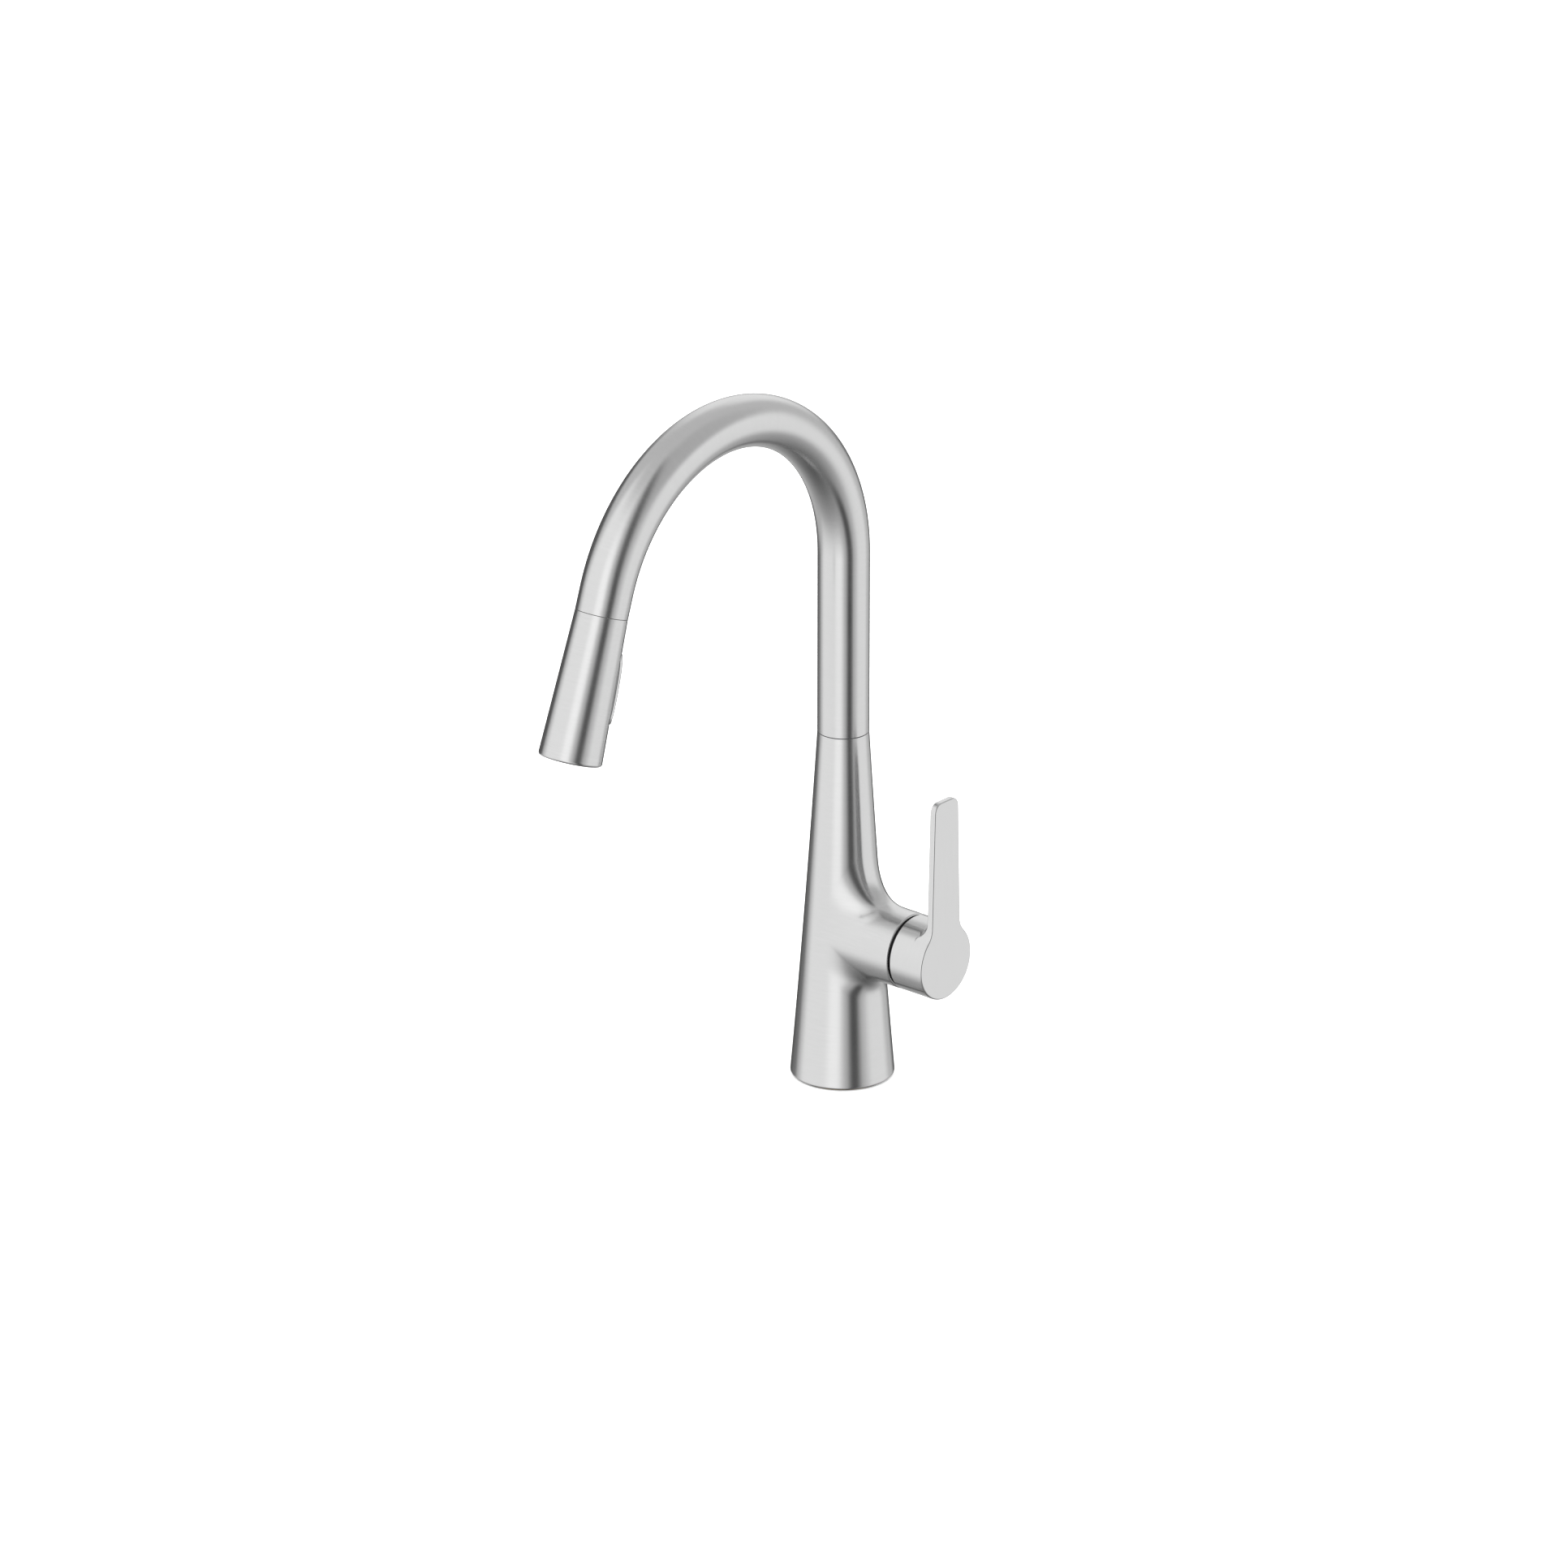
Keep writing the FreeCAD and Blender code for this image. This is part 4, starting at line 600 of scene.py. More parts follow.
for i in range(len(tr)):
    tube.bridge(tr[i], tr[(i + 1) % len(tr)])
tube_ob = tube.build("Spout_Tube", steel_spout, "spout", ["spout_tube"])

# -------------------------------------------------------------- spray head
HEAD_LEN, HEAD_R, HEAD_GAP = 78.0, 16.88, 0.2
TAPER = (HEAD_R - 14.0) / (HEAD_LEN - 1.6 - HEAD_GAP)
BUTTON_MID = 37.0


def head_ro(s):
    return 14.0 + TAPER * (s - HEAD_GAP)


def head_ri(s):
    return 12.5 + 2.58 * (s - HEAD_GAP) / 75.9


HN = unit(np.array([1.0, -TAPER]))


def head_surface(inner):
    fn, sg = (head_ri, -1.0) if inner else (head_ro, 1.0)

    def at(uv):
        th, s = uv[:, 0][:, None], uv[:, 1][:, None]
        r = fn(s)
        rad = np.cos(th) * FACE + np.sin(th) * SIDE
        circ = -np.sin(th) * FACE + np.cos(th) * SIDE
        N = sg * (HN[0] * rad + HN[1] * HEAD_AXIS)
        C = np.hstack([16 * np.cos(th), 16 * np.sin(th), s + 700.0])
        return SEAM + s * HEAD_AXIS + r * rad, N, C, np.cross(N, circ)
    return at


def pill(width, length, mid, k=720):
    """Dense outline (x, s) of a long rounded slot, with its outward normals."""
    r = width / 2
    h = length / 2 - r
    a = np.linspace(0, math.pi, 161)
    top = np.stack([r * np.cos(a), h + r * np.sin(a)], 1)
    ntop = np.stack([np.cos(a), np.sin(a)], 1)
    line = np.linspace(h, -h, 121)[1:-1]
    left = np.stack([np.full_like(line, -r), line], 1)
    P = np.vstack([top, left, -top, -left])
    N = np.vstack([ntop, np.tile([-1.0, 0.0], (len(line), 1)), -ntop, np.tile([1.0, 0.0], (len(line), 1))])
    P = P + np.array([0, mid])
    return P, N


def on_pill(P, N, mid, angles):
    a = np.arctan2(P[:, 0], P[:, 1] - mid)
    order = np.argsort(a)
    a, P, N = a[order], P[order], N[order]
    f = lambda q: np.interp(angles, a, q, period=2 * math.pi)
    return np.stack([f(P[:, 0]), f(P[:, 1])], 1), unit(np.stack([f(N[:, 0]), f(N[:, 1])], 1))


head = Mesh()
HC = 96
TURN_H = 2 * math.pi * np.arange(HC) / HC
s_rows = list(np.linspace(0.5, 10.5, 5)) + list(np.arange(12.0, 62.01, 1.0)) + list(np.linspace(63.8, 76.1, 7))
out_at, in_at = head_surface(False), head_surface(True)
outer = [head.add(*out_at(np.stack([TURN_H, np.full(HC, s)], 1))) for s in s_rows]
inner = [head.add(*in_at(np.stack([TURN_H, np.full(HC, s)], 1))) for s in s_rows]
q0, q1 = s_rows.index(12.0), s_rows.index(62.0)
lay_grid(head, outer, -8, 8, q0, q1, HC)
lay_grid(head, inner, -8, 8, q0, q1, HC)
oid, steps = border(outer, -8, 8, q0, q1, HC)
iid, _ = border(inner, -8, 8, q0, q1, HC)
uvb = np.array([(2 * math.pi * c / HC, s_rows[r]) for c, r in steps])
angs = np.arctan2(np.sin(uvb[:, 0]) * 15.4, uvb[:, 1] - BUTTON_MID)
SLOT_W, SLOT_L = 11.3, 39.35
PP, PN = pill(SLOT_W, SLOT_L, BUTTON_MID)
hp, hn = on_pill(PP, PN, BUTTON_MID, angs)


def pill_uv(pts, fn):
    return np.stack([np.arcsin(pts[:, 0] / fn(pts[:, 1])), pts[:, 1]], 1)


EDGE = 0.3
wide = hp + EDGE * hn
last_o = hole_patch(head, oid, uvb, pill_uv(wide, head_ro), out_at, 6)
last_i = hole_patch(head, iid, uvb, pill_uv(hp, head_ri), in_at, 3)
wall_n = -(hn[:, :1] * SIDE + hn[:, 1:] * HEAD_AXIS)
_, n_out, c_out, d_out = out_at(pill_uv(wide, head_ro))
last = last_o
for k in range(1, 5):
    a = math.pi / 2 * k / 4
    pts = hp + EDGE * hn * (1 - math.sin(a))
    y = np.sqrt(head_ro(pts[:, 1]) ** 2 - pts[:, 0] ** 2) - EDGE * (1 - math.cos(a))
    P = SEAM + pts[:, :1] * SIDE + pts[:, 1:] * HEAD_AXIS + y[:, None] * FACE
    N = unit(math.cos(a) * n_out + math.sin(a) * wall_n)
    ids = head.add(P, N, c_out, FACE)
    head.bridge(last, ids)
    last = ids
y = np.sqrt(head_ri(hp[:, 1]) ** 2 - hp[:, 0] ** 2) + 0.1
P = SEAM + hp[:, :1] * SIDE + hp[:, 1:] * HEAD_AXIS + y[:, None] * FACE
ids = head.add(P, wall_n, c_out, FACE)
head.bridge(last, ids)
head.bridge(ids, last_i)
# upper rim
up = rounded([(12.53, 1.2, 0), (12.5, HEAD_GAP, 0.2), (14.0, HEAD_GAP, 0.12), (14.0 + TAPER, 1.2, 0)], 4, False)
def turned_rows(mesh, rows, cols, origin, axis, e1, e2, off=0.0, flip=1.0):
    ids = []
    c_, s_ = np.cos(cols)[:, None], np.sin(cols)[:, None]
    rad = c_ * e1 + s_ * e2
    circ = -s_ * e1 + c_ * e2
    for r, a, nr_, na_ in rows:
        N = flip * (nr_ * rad + na_ * axis)
        ids.append(mesh.add(origin + a * axis + r * rad, N, np.hstack([16 * c_, 16 * s_, np.full_like(c_, a + off)]), np.cross(N, circ)))
    return ids


def oriented(rows, outward):
    """Flips the normals if the middle one points against the given (r, a) direction."""
    m = rows[len(rows) // 2]
    sg = 1.0 if m[2] * outward[0] + m[3] * outward[1] > 0 else -1.0
    return [(r, a, sg * x, sg * y) for r, a, x, y in rows]


rim = turned_rows(head, oriented(up, (0, -1))[1:-1], TURN_H, SEAM, HEAD_AXIS, FACE, SIDE, 700.0)
head.bridge(inner[0], rim[0])
for a_, b_ in zip(rim, rim[1:]):
    head.bridge(a_, b_)
head.bridge(rim[-1], outer[0])
# lower rim, rolled inwards
low = [(HEAD_R - 1.6 + 1.6 * math.cos(a), HEAD_LEN - 1.6 + 1.6 * math.sin(a), math.cos(a), math.sin(a)) for a in np.linspace(-0.02, math.pi / 2, 9)]
lowrim = turned_rows(head, low, TURN_H, SEAM, HEAD_AXIS, FACE, SIDE, 700.0)
head.bridge(outer[-1], lowrim[0])
for a_, b_ in zip(lowrim, lowrim[1:]):
    head.bridge(a_, b_)
lip = oriented(rounded([(15.28, HEAD_LEN, 0), (14.48, HEAD_LEN, 0.3), (15.08, HEAD_LEN - 1.5, 0.3), (15.08, HEAD_LEN - 3.5, 0)], 4, False), (-1, 0.2))
liprim = turned_rows(head, lip[1:-1], TURN_H, SEAM, HEAD_AXIS, FACE, SIDE, 700.0)
head.bridge(lowrim[-1], liprim[0])
for a_, b_ in zip(liprim, liprim[1:]):
    head.bridge(a_, b_)
head.bridge(liprim[-1], inner[-1])
head_ob = head.build("Spray_Head_Housing", steel_head, "sprayer", ["head_shell"])

# ------------------------------------------------------------------ rocker
BW, BL, PROUD, BR, CROWN = 10.4, 38.0, 1.6, 1.2, 1.1
rocker = Mesh()
A = np.linspace(0, 2 * math.pi, 120, endpoint=False)
dense, dn = pill(BW, BL, 0.0)
arc = np.concatenate([[0], np.cumsum(np.linalg.norm(np.diff(np.vstack([dense, dense[:1]]), axis=0), axis=1))])
pick = np.linspace(0, arc[-1], 140, endpoint=False)


def along_pill(q):
    ext = np.vstack([q, q[:1]])
    return np.stack([np.interp(pick, arc, ext[:, 0]), np.interp(pick, arc, ext[:, 1])], 1)


bp0, bn0 = along_pill(dense), unit(along_pill(dn))


def rocker_ring(inset, y_of, nfun):
    pts = bp0 - inset * bn0
    pts = np.stack([pts[:, 0], pts[:, 1] + BUTTON_MID], 1)
    u = (pts[:, 1] - BUTTON_MID) / (BL / 2)
    top = np.sqrt((head_ro(pts[:, 1])) ** 2 - pts[:, 0] ** 2) + PROUD - CROWN * np.abs(u) ** 3
    y = y_of(top)
    slope = unit(np.stack([pts[:, 0] / np.maximum(top, 1), np.ones(len(pts)), CROWN * 3 * u * np.abs(u) / (BL / 2) - TAPER], 1))
    nup = slope[:, :1] * SIDE + slope[:, 1:2] * FACE + slope[:, 2:] * HEAD_AXIS
    nside = bn0[:, :1] * SIDE + bn0[:, 1:] * HEAD_AXIS
    N = nfun(nup, nside)
    P = SEAM + pts[:, :1] * SIDE + pts[:, 1:] * HEAD_AXIS + y[:, None] * FACE
    return rocker.add(P, N, np.hstack([pts, y[:, None]])[:, [0, 2, 1]] + 300.0, np.broadcast_to(SIDE, P.shape) + 0 * P)


rr = [rocker_ring(0.3, lambda t: np.full_like(t, 9.5), lambda u, s: -FACE + 0 * s)]
rr.append(rocker_ring(0.0, lambda t: np.full_like(t, 9.8), lambda u, s: s))
for q in (10.8, 12.0, 13.2):
    rr.append(rocker_ring(0.0, lambda t, q=q: np.full_like(t, q), lambda u, s: s))
for k in range(7):
    a = math.pi / 2 * k / 6
    rr.append(rocker_ring(BR * (1 - math.cos(a)), lambda t, a=a: t - BR * (1 - math.sin(a)), lambda u, s, a=a: unit(math.sin(a) * u + math.cos(a) * s)))
for ins in (1.3, 2.0, 3.0, 4.0, 4.8, 5.15):
    rr.append(rocker_ring(ins, lambda t: t, lambda u, s: u))
for a_, b_ in zip(rr, rr[1:]):
    rocker.bridge(a_, b_)
rocker.cap(rr[0])
rocker.cap(rr[-1])
rocker_ob = rocker.build("Spray_Rocker", button_mat, "rocker", ["spray_button"])

# ------------------------------------------------------------------ handle
BLADE_TOP, HALF_LOW, HALF_TOP, CORNER, NECK = 93.3, 12.3, 9.7, 5.5, 12.0
lean = (HALF_LOW - HALF_TOP) / BLADE_TOP
q = math.sqrt(1 + lean * lean)
tilt = math.atan(lean)
corner_h = BLADE_TOP - CORNER
corner_y = HALF_LOW - lean * corner_h - CORNER * q
neck_h = 20.0
for _ in range(40):
    neck_y = HALF_LOW - lean * neck_h + NECK * q
    neck_h = math.sqrt((HUB_R + NECK) ** 2 - neck_y ** 2)
half = []                                     # right half outline: (y, h, ny, nh)
half += [(corner_y * k, BLADE_TOP, 0.0, 1.0) for k in (0.0, 0.34, 0.67)]
for a in np.linspace(math.pi / 2, tilt, 9):
    half.append((corner_y + CORNER * math.cos(a), corner_h + CORNER * math.sin(a), math.cos(a), math.sin(a)))
for h in np.linspace(corner_h + CORNER * math.sin(tilt), neck_h - NECK * math.sin(tilt), 31)[1:]:
    half.append((HALF_LOW - lean * h, h, 1 / q, lean / q))
for a in np.linspace(math.pi + tilt, math.pi + math.atan2(neck_h, neck_y), 11)[1:]:
    half.append((neck_y + NECK * math.cos(a), neck_h + NECK * math.sin(a), -math.cos(a), -math.sin(a)))
for a in np.linspace(math.atan2(neck_y, neck_h), math.pi, 45)[1:]:
    half.append((HUB_R * math.sin(a), HUB_R * math.cos(a), math.sin(a), math.cos(a)))
half = np.array(half)
mirror = half[1:-1][::-1] * np.array([-1, 1, -1, 1])
O = np.vstack([half, mirror])
OP, ON = O[:, :2], unit(O[:, 2:])
K = len(O)
PH = np.arctan2(OP[:, 0], OP[:, 1])            # polar angle from straight up
on_hub = np.abs(np.hypot(OP[:, 0], OP[:, 1]) - HUB_R) < 0.02
BACK, COVE = 69.0, 6.0


def back_x(rho):
    d = np.clip(rho - HUB_R, 0, COVE)
    return BACK - COVE + np.sqrt(np.maximum(COVE ** 2 - (COVE - d) ** 2, 0))


def back_n(rho):
    """Normal (radial, x) of the cove and of the flat back of the blade."""
    d = np.clip(rho - HUB_R, 0, COVE)
    return (COVE - d) / COVE, -np.sqrt(np.maximum(1 - ((COVE - d) / COVE) ** 2, 0))


lever = Mesh()


def lever_ring(yh, x, n_yh, nx, brush="round"):
    x = np.broadcast_to(x, (K,))
    P = np.stack([x, yh[:, 0], HUB_Z + yh[:, 1]], 1)
    N = np.stack([np.broadcast_to(nx, (K,)), n_yh[:, 0], n_yh[:, 1]], 1)
    if brush == "face":
        C = np.stack([yh[:, 1] * 1.0, x, yh[:, 0]], 1)
        D = np.broadcast_to(Y, P.shape)
    else:
        C = np.stack([20 * np.sin(PH), 20 * np.cos(PH), x + 500.0], 1)
        D = np.broadcast_to(X, P.shape)
        flat = np.abs(N[:, 0]) > 0.9
        D = np.where(flat[:, None], np.stack([np.zeros(K), np.sin(PH), np.cos(PH)], 1), D)
    return lever.add(P, N, C, D)


dirs = np.stack([np.sin(PH), np.cos(PH)], 1)
hub_rings = []
# round rim at the open end, then the hub's side
for k in range(5):
    a = math.pi / 2 * (1 - k / 4)
    hub_rings.append(lever_ring(dirs * (HUB_R - 0.7 + 0.7 * math.cos(a)), HUB_LOW + 0.7 - 0.7 * math.sin(a), dirs * math.cos(a), -math.sin(a)))
hub_x = [None] * 5
for x in np.linspace(52.2, 63.0, 10):
    hub_rings.append(lever_ring(dirs * HUB_R, x, dirs, 0.0))
    hub_x.append(x)
RB = 0.45
inset = OP - RB * ON
rho_in = np.hypot(inset[:, 0], inset[:, 1])
rho_c = np.where(on_hub, HUB_R, np.clip(rho_in, HUB_R, HUB_R + COVE))
a_max = np.arccos(np.clip(1 - (rho_c - HUB_R) / COVE, -1, 1))
JC = 10
for k in range(1, JC + 1):
    a = a_max * k / JC
    rho = HUB_R + COVE * (1 - np.cos(a))
    x = np.where(on_hub, 63.0 + 0.06 * k, BACK - COVE + COVE * np.sin(a))
    hub_rings.append(lever_ring(dirs * rho[:, None], x, dirs * np.cos(a)[:, None], -np.sin(a)))
    hub_x.append(63.0 + 0.06 * k)
JF = 4
start = dirs * rho_c[:, None]
for k in range(1, JF + 1):
    w = k / JF
    pos = np.where(on_hub[:, None], start, start * (1 - w) + inset * w)
    rho = np.hypot(pos[:, 0], pos[:, 1])
    x = np.where(on_hub, 63.6 + 0.05 * k, back_x(rho))
    nr_, nx_ = back_n(rho)
    nr_, nx_ = np.where(on_hub, 1.0, nr_), np.where(on_hub, 0.0, nx_)
    hub_rings.append(lever_ring(pos, x, unit(pos) * nr_[:, None], nx_))
    hub_x.append(63.6 + 0.05 * k)
# rounded edge between the back and the side wall
rho_o = np.hypot(OP[:, 0], OP[:, 1])
x_o = np.where(on_hub, 63.8, back_x(np.where(on_hub, HUB_R, rho_o)))
bn_r, bn_x = back_n(np.where(on_hub, HUB_R, rho_in))
bn3 = np.stack([bn_x, unit(inset)[:, 0] * bn_r, unit(inset)[:, 1] * bn_r], 1)
sn3 = np.stack([np.zeros(K), ON[:, 0], ON[:, 1]], 1)
pa = np.stack([back_x(rho_in), inset[:, 0], inset[:, 1]], 1)
pb = np.stack([x_o, OP[:, 0], OP[:, 1]], 1)
pc = np.stack([x_o + RB, OP[:, 0], OP[:, 1]], 1)
for k in range(1, 5):
    w = k / 4
    q = (1 - w) ** 2 * pa + 2 * w * (1 - w) * pb + w * w * pc
    n = unit((1 - w) * bn3 + w * sn3)
    q = np.where(on_hub[:, None], np.stack([np.full(K, 63.8 + 0.1 * k), OP[:, 0], OP[:, 1]], 1), q)
    n = np.where(on_hub[:, None], sn3, n)
    hub_rings.append(lever_ring(q[:, 1:], q[:, 0], n[:, 1:], n[:, 0]))
    hub_x.append(63.8 + 0.1 * k)
side0 = np.where(on_hub, 64.2, pc[:, 0])
RF = 0.9
for k in range(1, 7):
    w = k / 6
    hub_rings.append(lever_ring(OP, side0 * (1 - w) + (HUB_HIGH - RF) * w, ON, 0.0))
    hub_x.append(64.2 * (1 - w) + (HUB_HIGH - RF) * w)
for k in range(1, 6):
    a = math.pi / 2 * k / 5
    hub_rings.append(lever_ring(OP - RF * (1 - math.cos(a)) * ON, HUB_HIGH - RF + RF * math.sin(a), ON * math.cos(a), math.sin(a), "face" if k == 5 else "round"))
    hub_x.append(None)
face_in = lever_ring(OP - 1.2 * ON, HUB_HIGH, ON * 0.0, 1.0, "face")
lever.bridge(hub_rings[-1], face_in)
lever.cap(face_in)
# hole for the screw's plug underneath
cb_ = K // 2
row0 = 7
row1 = [i for i, x in enumerate(hub_x) if x is not None and x > 64.6][0]
lay_grid(lever, hub_rings, cb_ - 5, cb_ + 5, row0, row1, K)
hid, steps = border(hub_rings, cb_ - 5, cb_ + 5, row0, row1, K)
PHU = np.unwrap(np.where(PH < -1e-9, PH + 2 * math.pi, PH))
huv = np.array([(PHU[c], hub_x[r]) for c, r in steps])


def hub_at(uv):
    th, x = uv[:, 0], uv[:, 1]
    P = np.stack([x, HUB_R * np.sin(th), HUB_Z + HUB_R * np.cos(th)], 1)
    N = np.stack([np.zeros_like(th), np.sin(th), np.cos(th)], 1)
    return P, N, np.stack([20 * np.sin(th), 20 * np.cos(th), x + 500.0], 1), np.broadcast_to(X, P.shape)


ha = np.arctan2(HUB_R * (huv[:, 0] - math.pi), huv[:, 1] - 60.0)


def plug_ring(rad):
    return np.stack([np.pi + rad * np.sin(ha) / HUB_R, 60.0 + rad * np.cos(ha)], 1)


last = hole_patch(lever, hid, huv, plug_ring(3.45), hub_at, 3)
for k, (rad, dep) in enumerate([(3.3, 0.06), (3.23, 0.2), (3.23, 1.3)]):
    P, N, C, D = hub_at(plug_ring(rad))
    nin = np.stack([-np.cos(ha), np.sin(ha), np.zeros_like(ha)], 1)
    P = P + np.array([0, 0, dep])
    ids = lever.add(P, unit(N * (0.7 if k == 0 else 0.0) + nin), C, D)
    lever.bridge(last, ids)
    last = ids
lever.cap(last)
# inside of the hub with the socket for the stem
ins = rounded([(20.0, 50.5, 0), (19.4, 50.5, 0.2), (19.4, 66.5, 0.3), (8.2, 66.5, 0.3), (8.2, 54.5, 0.3), (5.0, 54.5, 0)], 3, False)
last = hub_rings[0]
mid = ins[len(ins) // 2]
sg = 1.0
if ins[2][2] > 0 and abs(ins[2][0] - 19.4) < 0.3:
    sg = -1.0
for r, x, nr_, nx_ in ins[1:-1]:
    ids = lever_ring(dirs * r, x, dirs * (sg * nr_), sg * nx_)
    lever.bridge(last, ids)
    last = ids
sq = dirs * (4.05 / np.maximum(np.abs(dirs).max(1), 1e-6))[:, None]
for x, n_, nx_ in ((54.5, dirs * 0, -1.0), (54.9, -dirs, 0.0), (66.2, -dirs, 0.0)):
    ids = lever_ring(sq, x, n_, nx_)
    lever.bridge(last, ids)
    last = ids
lever.cap(last)
lever_ob = lever.build("Lever_Handle", steel_lever, "lever", ["handle"])

# --------------------------------------------------------- the pull-out hose
hose = Mesh()
HR = 4.8
A = 2 * math.pi * np.arange(28) / 28
HOSE_END = WHOLE - 26.6
# The braid's coordinates along the hose are shifted by a smooth weight inside the last of the arch,
# between two slanting planes that the rest of its route stays in front of.
PULL = np.array([0.0, -math.cos(math.radians(20)), -math.sin(math.radians(20))])
tip, _, tip_out = path_at(HOSE_END)
far = float(tip @ PULL) - HR * abs(float(tip_out @ PULL)) - 0.2
near = far - 6.0
low_s = -70.0 - LOW
rows = list(np.linspace(low_s, RISE, 40)) + list(np.linspace(RISE, HOSE_END - 24.0, 84)[1:]) + list(np.linspace(HOSE_END - 24.0, HOSE_END, 400)[1:])


def hose_at(s):
    if s < 0:
        return np.array([0, 0, LOW + s]), Z, Y
    return path_at(s)


hr = []
for s in rows:
    p, t, out = hose_at(s)
    c_, s_ = np.cos(A)[:, None], np.sin(A)[:, None]
    rad = c_ * out + s_ * X
    w = np.clip(((p + HR * rad) @ PULL - near) / (far - near), 0, 1)[:, None]
    w = w * w * (3 - 2 * w)
    C = np.hstack([A[:, None], 0 * c_, s + 450.0 * w + 300.0])
    hr.append(hose.add(p + HR * rad, rad, C, np.broadcast_to(t, rad.shape)))
for a_, b_ in zip(hr, hr[1:]):
    hose.bridge(a_, b_)
hose.cap(hr[0])
hose.cap(hr[-1])
hose_ob = hose.build("Pull_Out_Hose", hose_mat, None, ["pullout_hose"], merge=0.0005)
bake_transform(hose_ob)

# ------------------------------------------------ finishes of the CAD pieces
finish = {
    "brass": ["cartridge_base", "spout_adapter", "hose_coupling", "check_valve", "stem", "diverter_spool", "base_flange"],
    "nut_brass": ["mounting_nut", "bonnet_nut", "mounting_shank"],
    "steel": ["clamp_plate", "jack_screws", "swivel_clip", "grub_screw", "pivot_pin", "button_pin", "dock_magnet", "hose_nut"],
    "black_rubber": ["base_gasket", "deck_washer", "seat_seals", "swivel_seals", "face_seal"],
    "white_plastic": ["lower_bushing", "upper_bushing", "cartridge_housing", "dock_collar", "dock_sleeve"],
    "ceramic": ["fixed_disc", "moving_disc"],
    "dark_plastic": ["boss_trim_ring", "swivel_washer", "rotor", "head_core"],
    "spray_grey": ["spray_face"],
    "nozzle_grey": ["spray_nozzles", "screw_plug"],
    "aerator_grey": ["aerator"],
}
given = {n: slots[k] for k, names in finish.items() for n in names}
for name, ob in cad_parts.items():
    mat = given.get(name, slots["steel"])
    if not ob.material_slots:
        continue
    for ms in ob.material_slots:
        ms.link = "OBJECT"
        ms.material = mat

# ---------------------------------------------------------- floor and light
bpy.ops.mesh.primitive_plane_add(size=12.0, location=(0, 0, -0.0003))
floor = bpy.context.object
floor.name = "Floor"
fm, nt, bs = nodes_of("floor_white")
nz = node(nt, "ShaderNodeTexNoise", i_Scale=40.0, i_Detail=2.0)
tc = node(nt, "ShaderNodeTexCoord")
nt.links.new(tc.outputs["Object"], nz.inputs["Vector"])
fr = ramp(nt, nz.outputs[0], [(0.3, 0.86), (0.7, 0.88)], "LINEAR")
nt.links.new(fr.outputs[0], bs.inputs["Base Color"])
bs.inputs["Roughness"].default_value = 0.9
bs.inputs["Specular IOR Level"].default_value = 0.0
floor.data.materials.append(fm)
floor.visible_glossy = False

world = bpy.data.worlds.new("Studio")
scene.world = world
world.use_nodes = True
wt = world.node_tree
wt.nodes.clear()
W = wt.links.new
out = wt.nodes.new("ShaderNodeOutputWorld")
tc = node(wt, "ShaderNodeTexCoord")
dx = node(wt, "ShaderNodeVectorMath", operation="DOT_PRODUCT")
dx.inputs[1].default_value = (0.7568178, 0.6536259, 0.0)
dy = node(wt, "ShaderNodeVectorMath", operation="DOT_PRODUCT")
dy.inputs[1].default_value = (0.6536259, -0.7568178, 0.0)
W(tc.outputs["Generated"], dx.inputs[0])
W(tc.outputs["Generated"], dy.inputs[0])
az = node(wt, "ShaderNodeMath", operation="ARCTAN2")
W(dx.outputs["Value"], az.inputs[0])
W(dy.outputs["Value"], az.inputs[1])
azd = node(wt, "ShaderNodeMath", operation="MULTIPLY", i_1=180.0 / math.pi)
W(az.outputs[0], azd.inputs[0])
sep = node(wt, "ShaderNodeSeparateXYZ")
W(tc.outputs["Generated"], sep.inputs[0])
asin = node(wt, "ShaderNodeMath", operation="ARCSINE")
W(sep.outputs[2], asin.inputs[0])
eld = node(wt, "ShaderNodeMath", operation="MULTIPLY", i_1=180.0 / math.pi)
W(asin.outputs[0], eld.inputs[0])
e01 = node(wt, "ShaderNodeMath", operation="MULTIPLY_ADD", i_1=1 / 180.0, i_2=0.5)
W(eld.outputs[0], e01.inputs[0])

# A plain grey room, darker towards the ground, with soft panels and black flags
# hung in it: level, azimuth of its middle from the camera's side (right is
# positive), half width, softness, elevation of its middle, half height, softness.
ROOM = [(-90, 0.10), (-68, 0.24), (-52, 0.42), (-38, 0.60), (-20, 0.68), (20, 0.66), (60, 0.64), (90, 0.64)]
PANELS = [
    (1.13, -56, 50, 12, 12, 48, 14),     # large soft panel on the left
    (1.36, -20, 15, 10, 6, 30, 12),      # its bright middle, close to the camera
    (0.10, -144, 22, 9, -4, 20, 8),      # flag behind on the left
    (0.10, 180, 34, 10, -16, 14, 6),     # dark ground behind
    (1.07, 88, 29, 12, -8, 26, 10),      # soft panel on the right
    (0.54, 76, 36, 14, 46, 24, 12),      # dim corner above it
    (1.04, 172, 22, 11, 22, 20, 10),     # strip light behind
    (0.07, 27, 13, 9, 8, 66, 14),        # tall black flag right of the camera
]


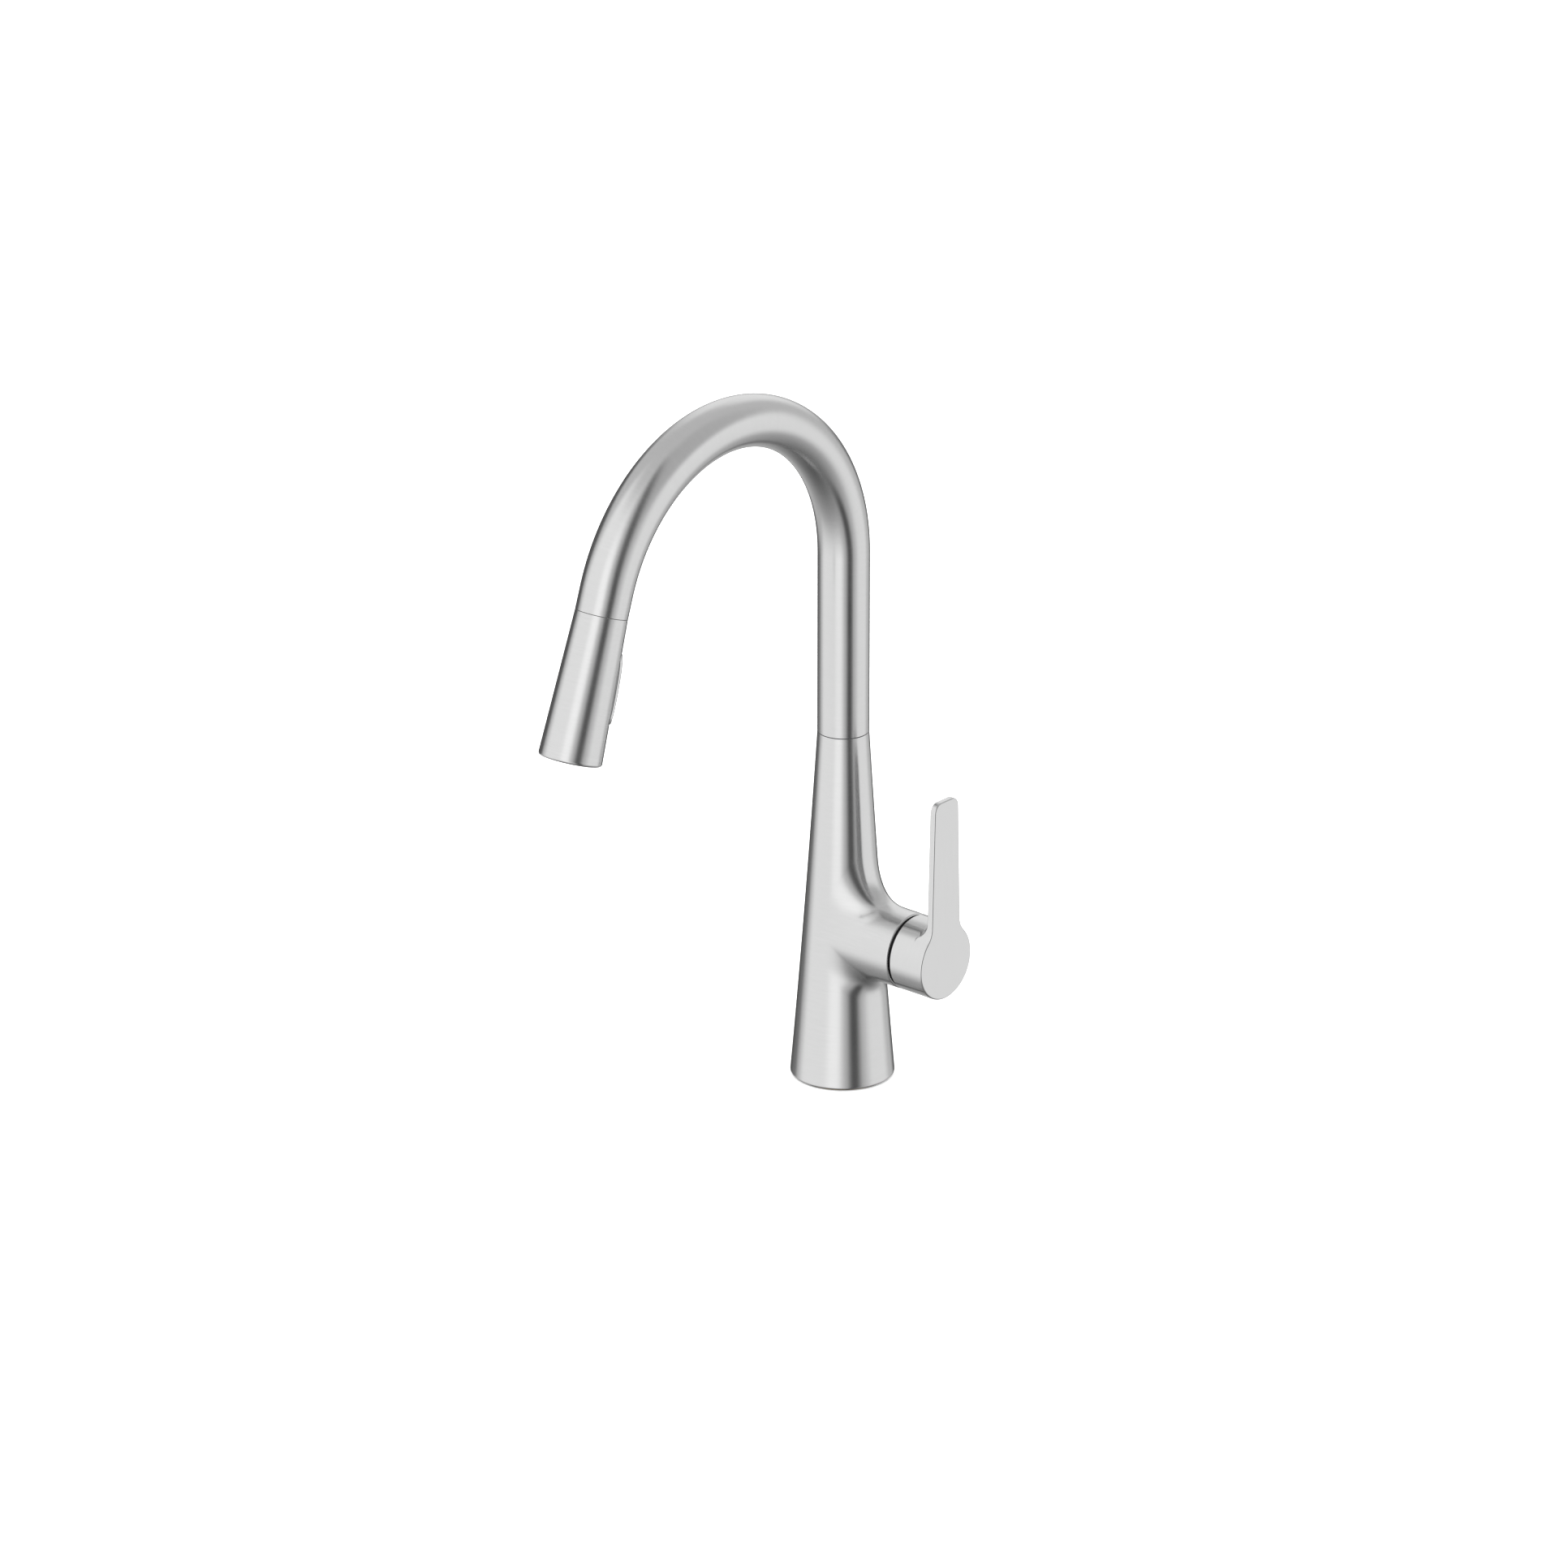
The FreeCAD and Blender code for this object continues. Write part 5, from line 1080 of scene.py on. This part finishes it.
def window(value, centre, half, soft, wrap=False):
    d = node(wt, "ShaderNodeMath", operation="SUBTRACT", i_1=float(centre))
    W(value, d.inputs[0])
    last = d
    if wrap:
        last = node(wt, "ShaderNodeMath", operation="WRAP", i_1=180.0, i_2=-180.0)
        W(d.outputs[0], last.inputs[0])
    ab = node(wt, "ShaderNodeMath", operation="ABSOLUTE")
    W(last.outputs[0], ab.inputs[0])
    mr = node(wt, "ShaderNodeMapRange", interpolation_type="SMOOTHSTEP")
    mr.inputs["From Min"].default_value = half - soft
    mr.inputs["From Max"].default_value = half + soft
    mr.inputs["To Min"].default_value = 1.0
    mr.inputs["To Max"].default_value = 0.0
    W(ab.outputs[0], mr.inputs["Value"])
    return mr.outputs["Result"]


room = ramp(wt, e01.outputs[0], [((e + 90.0) / 180.0, v / 2) for e, v in ROOM], "LINEAR")
sofar = room.outputs[0]
for level, a0, ah, asoft, e0, eh, esoft in PANELS:
    wa_, we_ = window(azd.outputs[0], a0, ah, asoft, True), window(eld.outputs[0], e0, eh, esoft)
    both = node(wt, "ShaderNodeMath", operation="MULTIPLY")
    W(wa_, both.inputs[0])
    W(we_, both.inputs[1])
    mx = node(wt, "ShaderNodeMix", data_type="RGBA")
    mx.inputs[7].default_value = (level / 2, level / 2, level / 2, 1)
    W(both.outputs[0], mx.inputs["Factor"])
    W(sofar, mx.inputs[6])
    sofar = mx.outputs[2]
bg_gloss = node(wt, "ShaderNodeBackground", i_Strength=2.0)
W(sofar, bg_gloss.inputs[0])
bg_diff = node(wt, "ShaderNodeBackground", i_Strength=2.2)
bg_diff.inputs[0].default_value = (1, 1, 1, 1)
bg_cam = node(wt, "ShaderNodeBackground", i_Strength=1.0)
bg_cam.inputs[0].default_value = (1, 1, 1, 1)
lp = node(wt, "ShaderNodeLightPath")
m1 = node(wt, "ShaderNodeMixShader")
W(lp.outputs["Is Glossy Ray"], m1.inputs[0])
W(bg_diff.outputs[0], m1.inputs[1])
W(bg_gloss.outputs[0], m1.inputs[2])
m2 = node(wt, "ShaderNodeMixShader")
W(lp.outputs["Is Camera Ray"], m2.inputs[0])
W(m1.outputs[0], m2.inputs[1])
W(bg_cam.outputs[0], m2.inputs[2])
W(m2.outputs[0], out.inputs[0])

scene.view_settings.view_transform = "Standard"
scene.view_settings.look = "None"
scene.view_settings.exposure = 0.0
scene.view_settings.gamma = 1.0
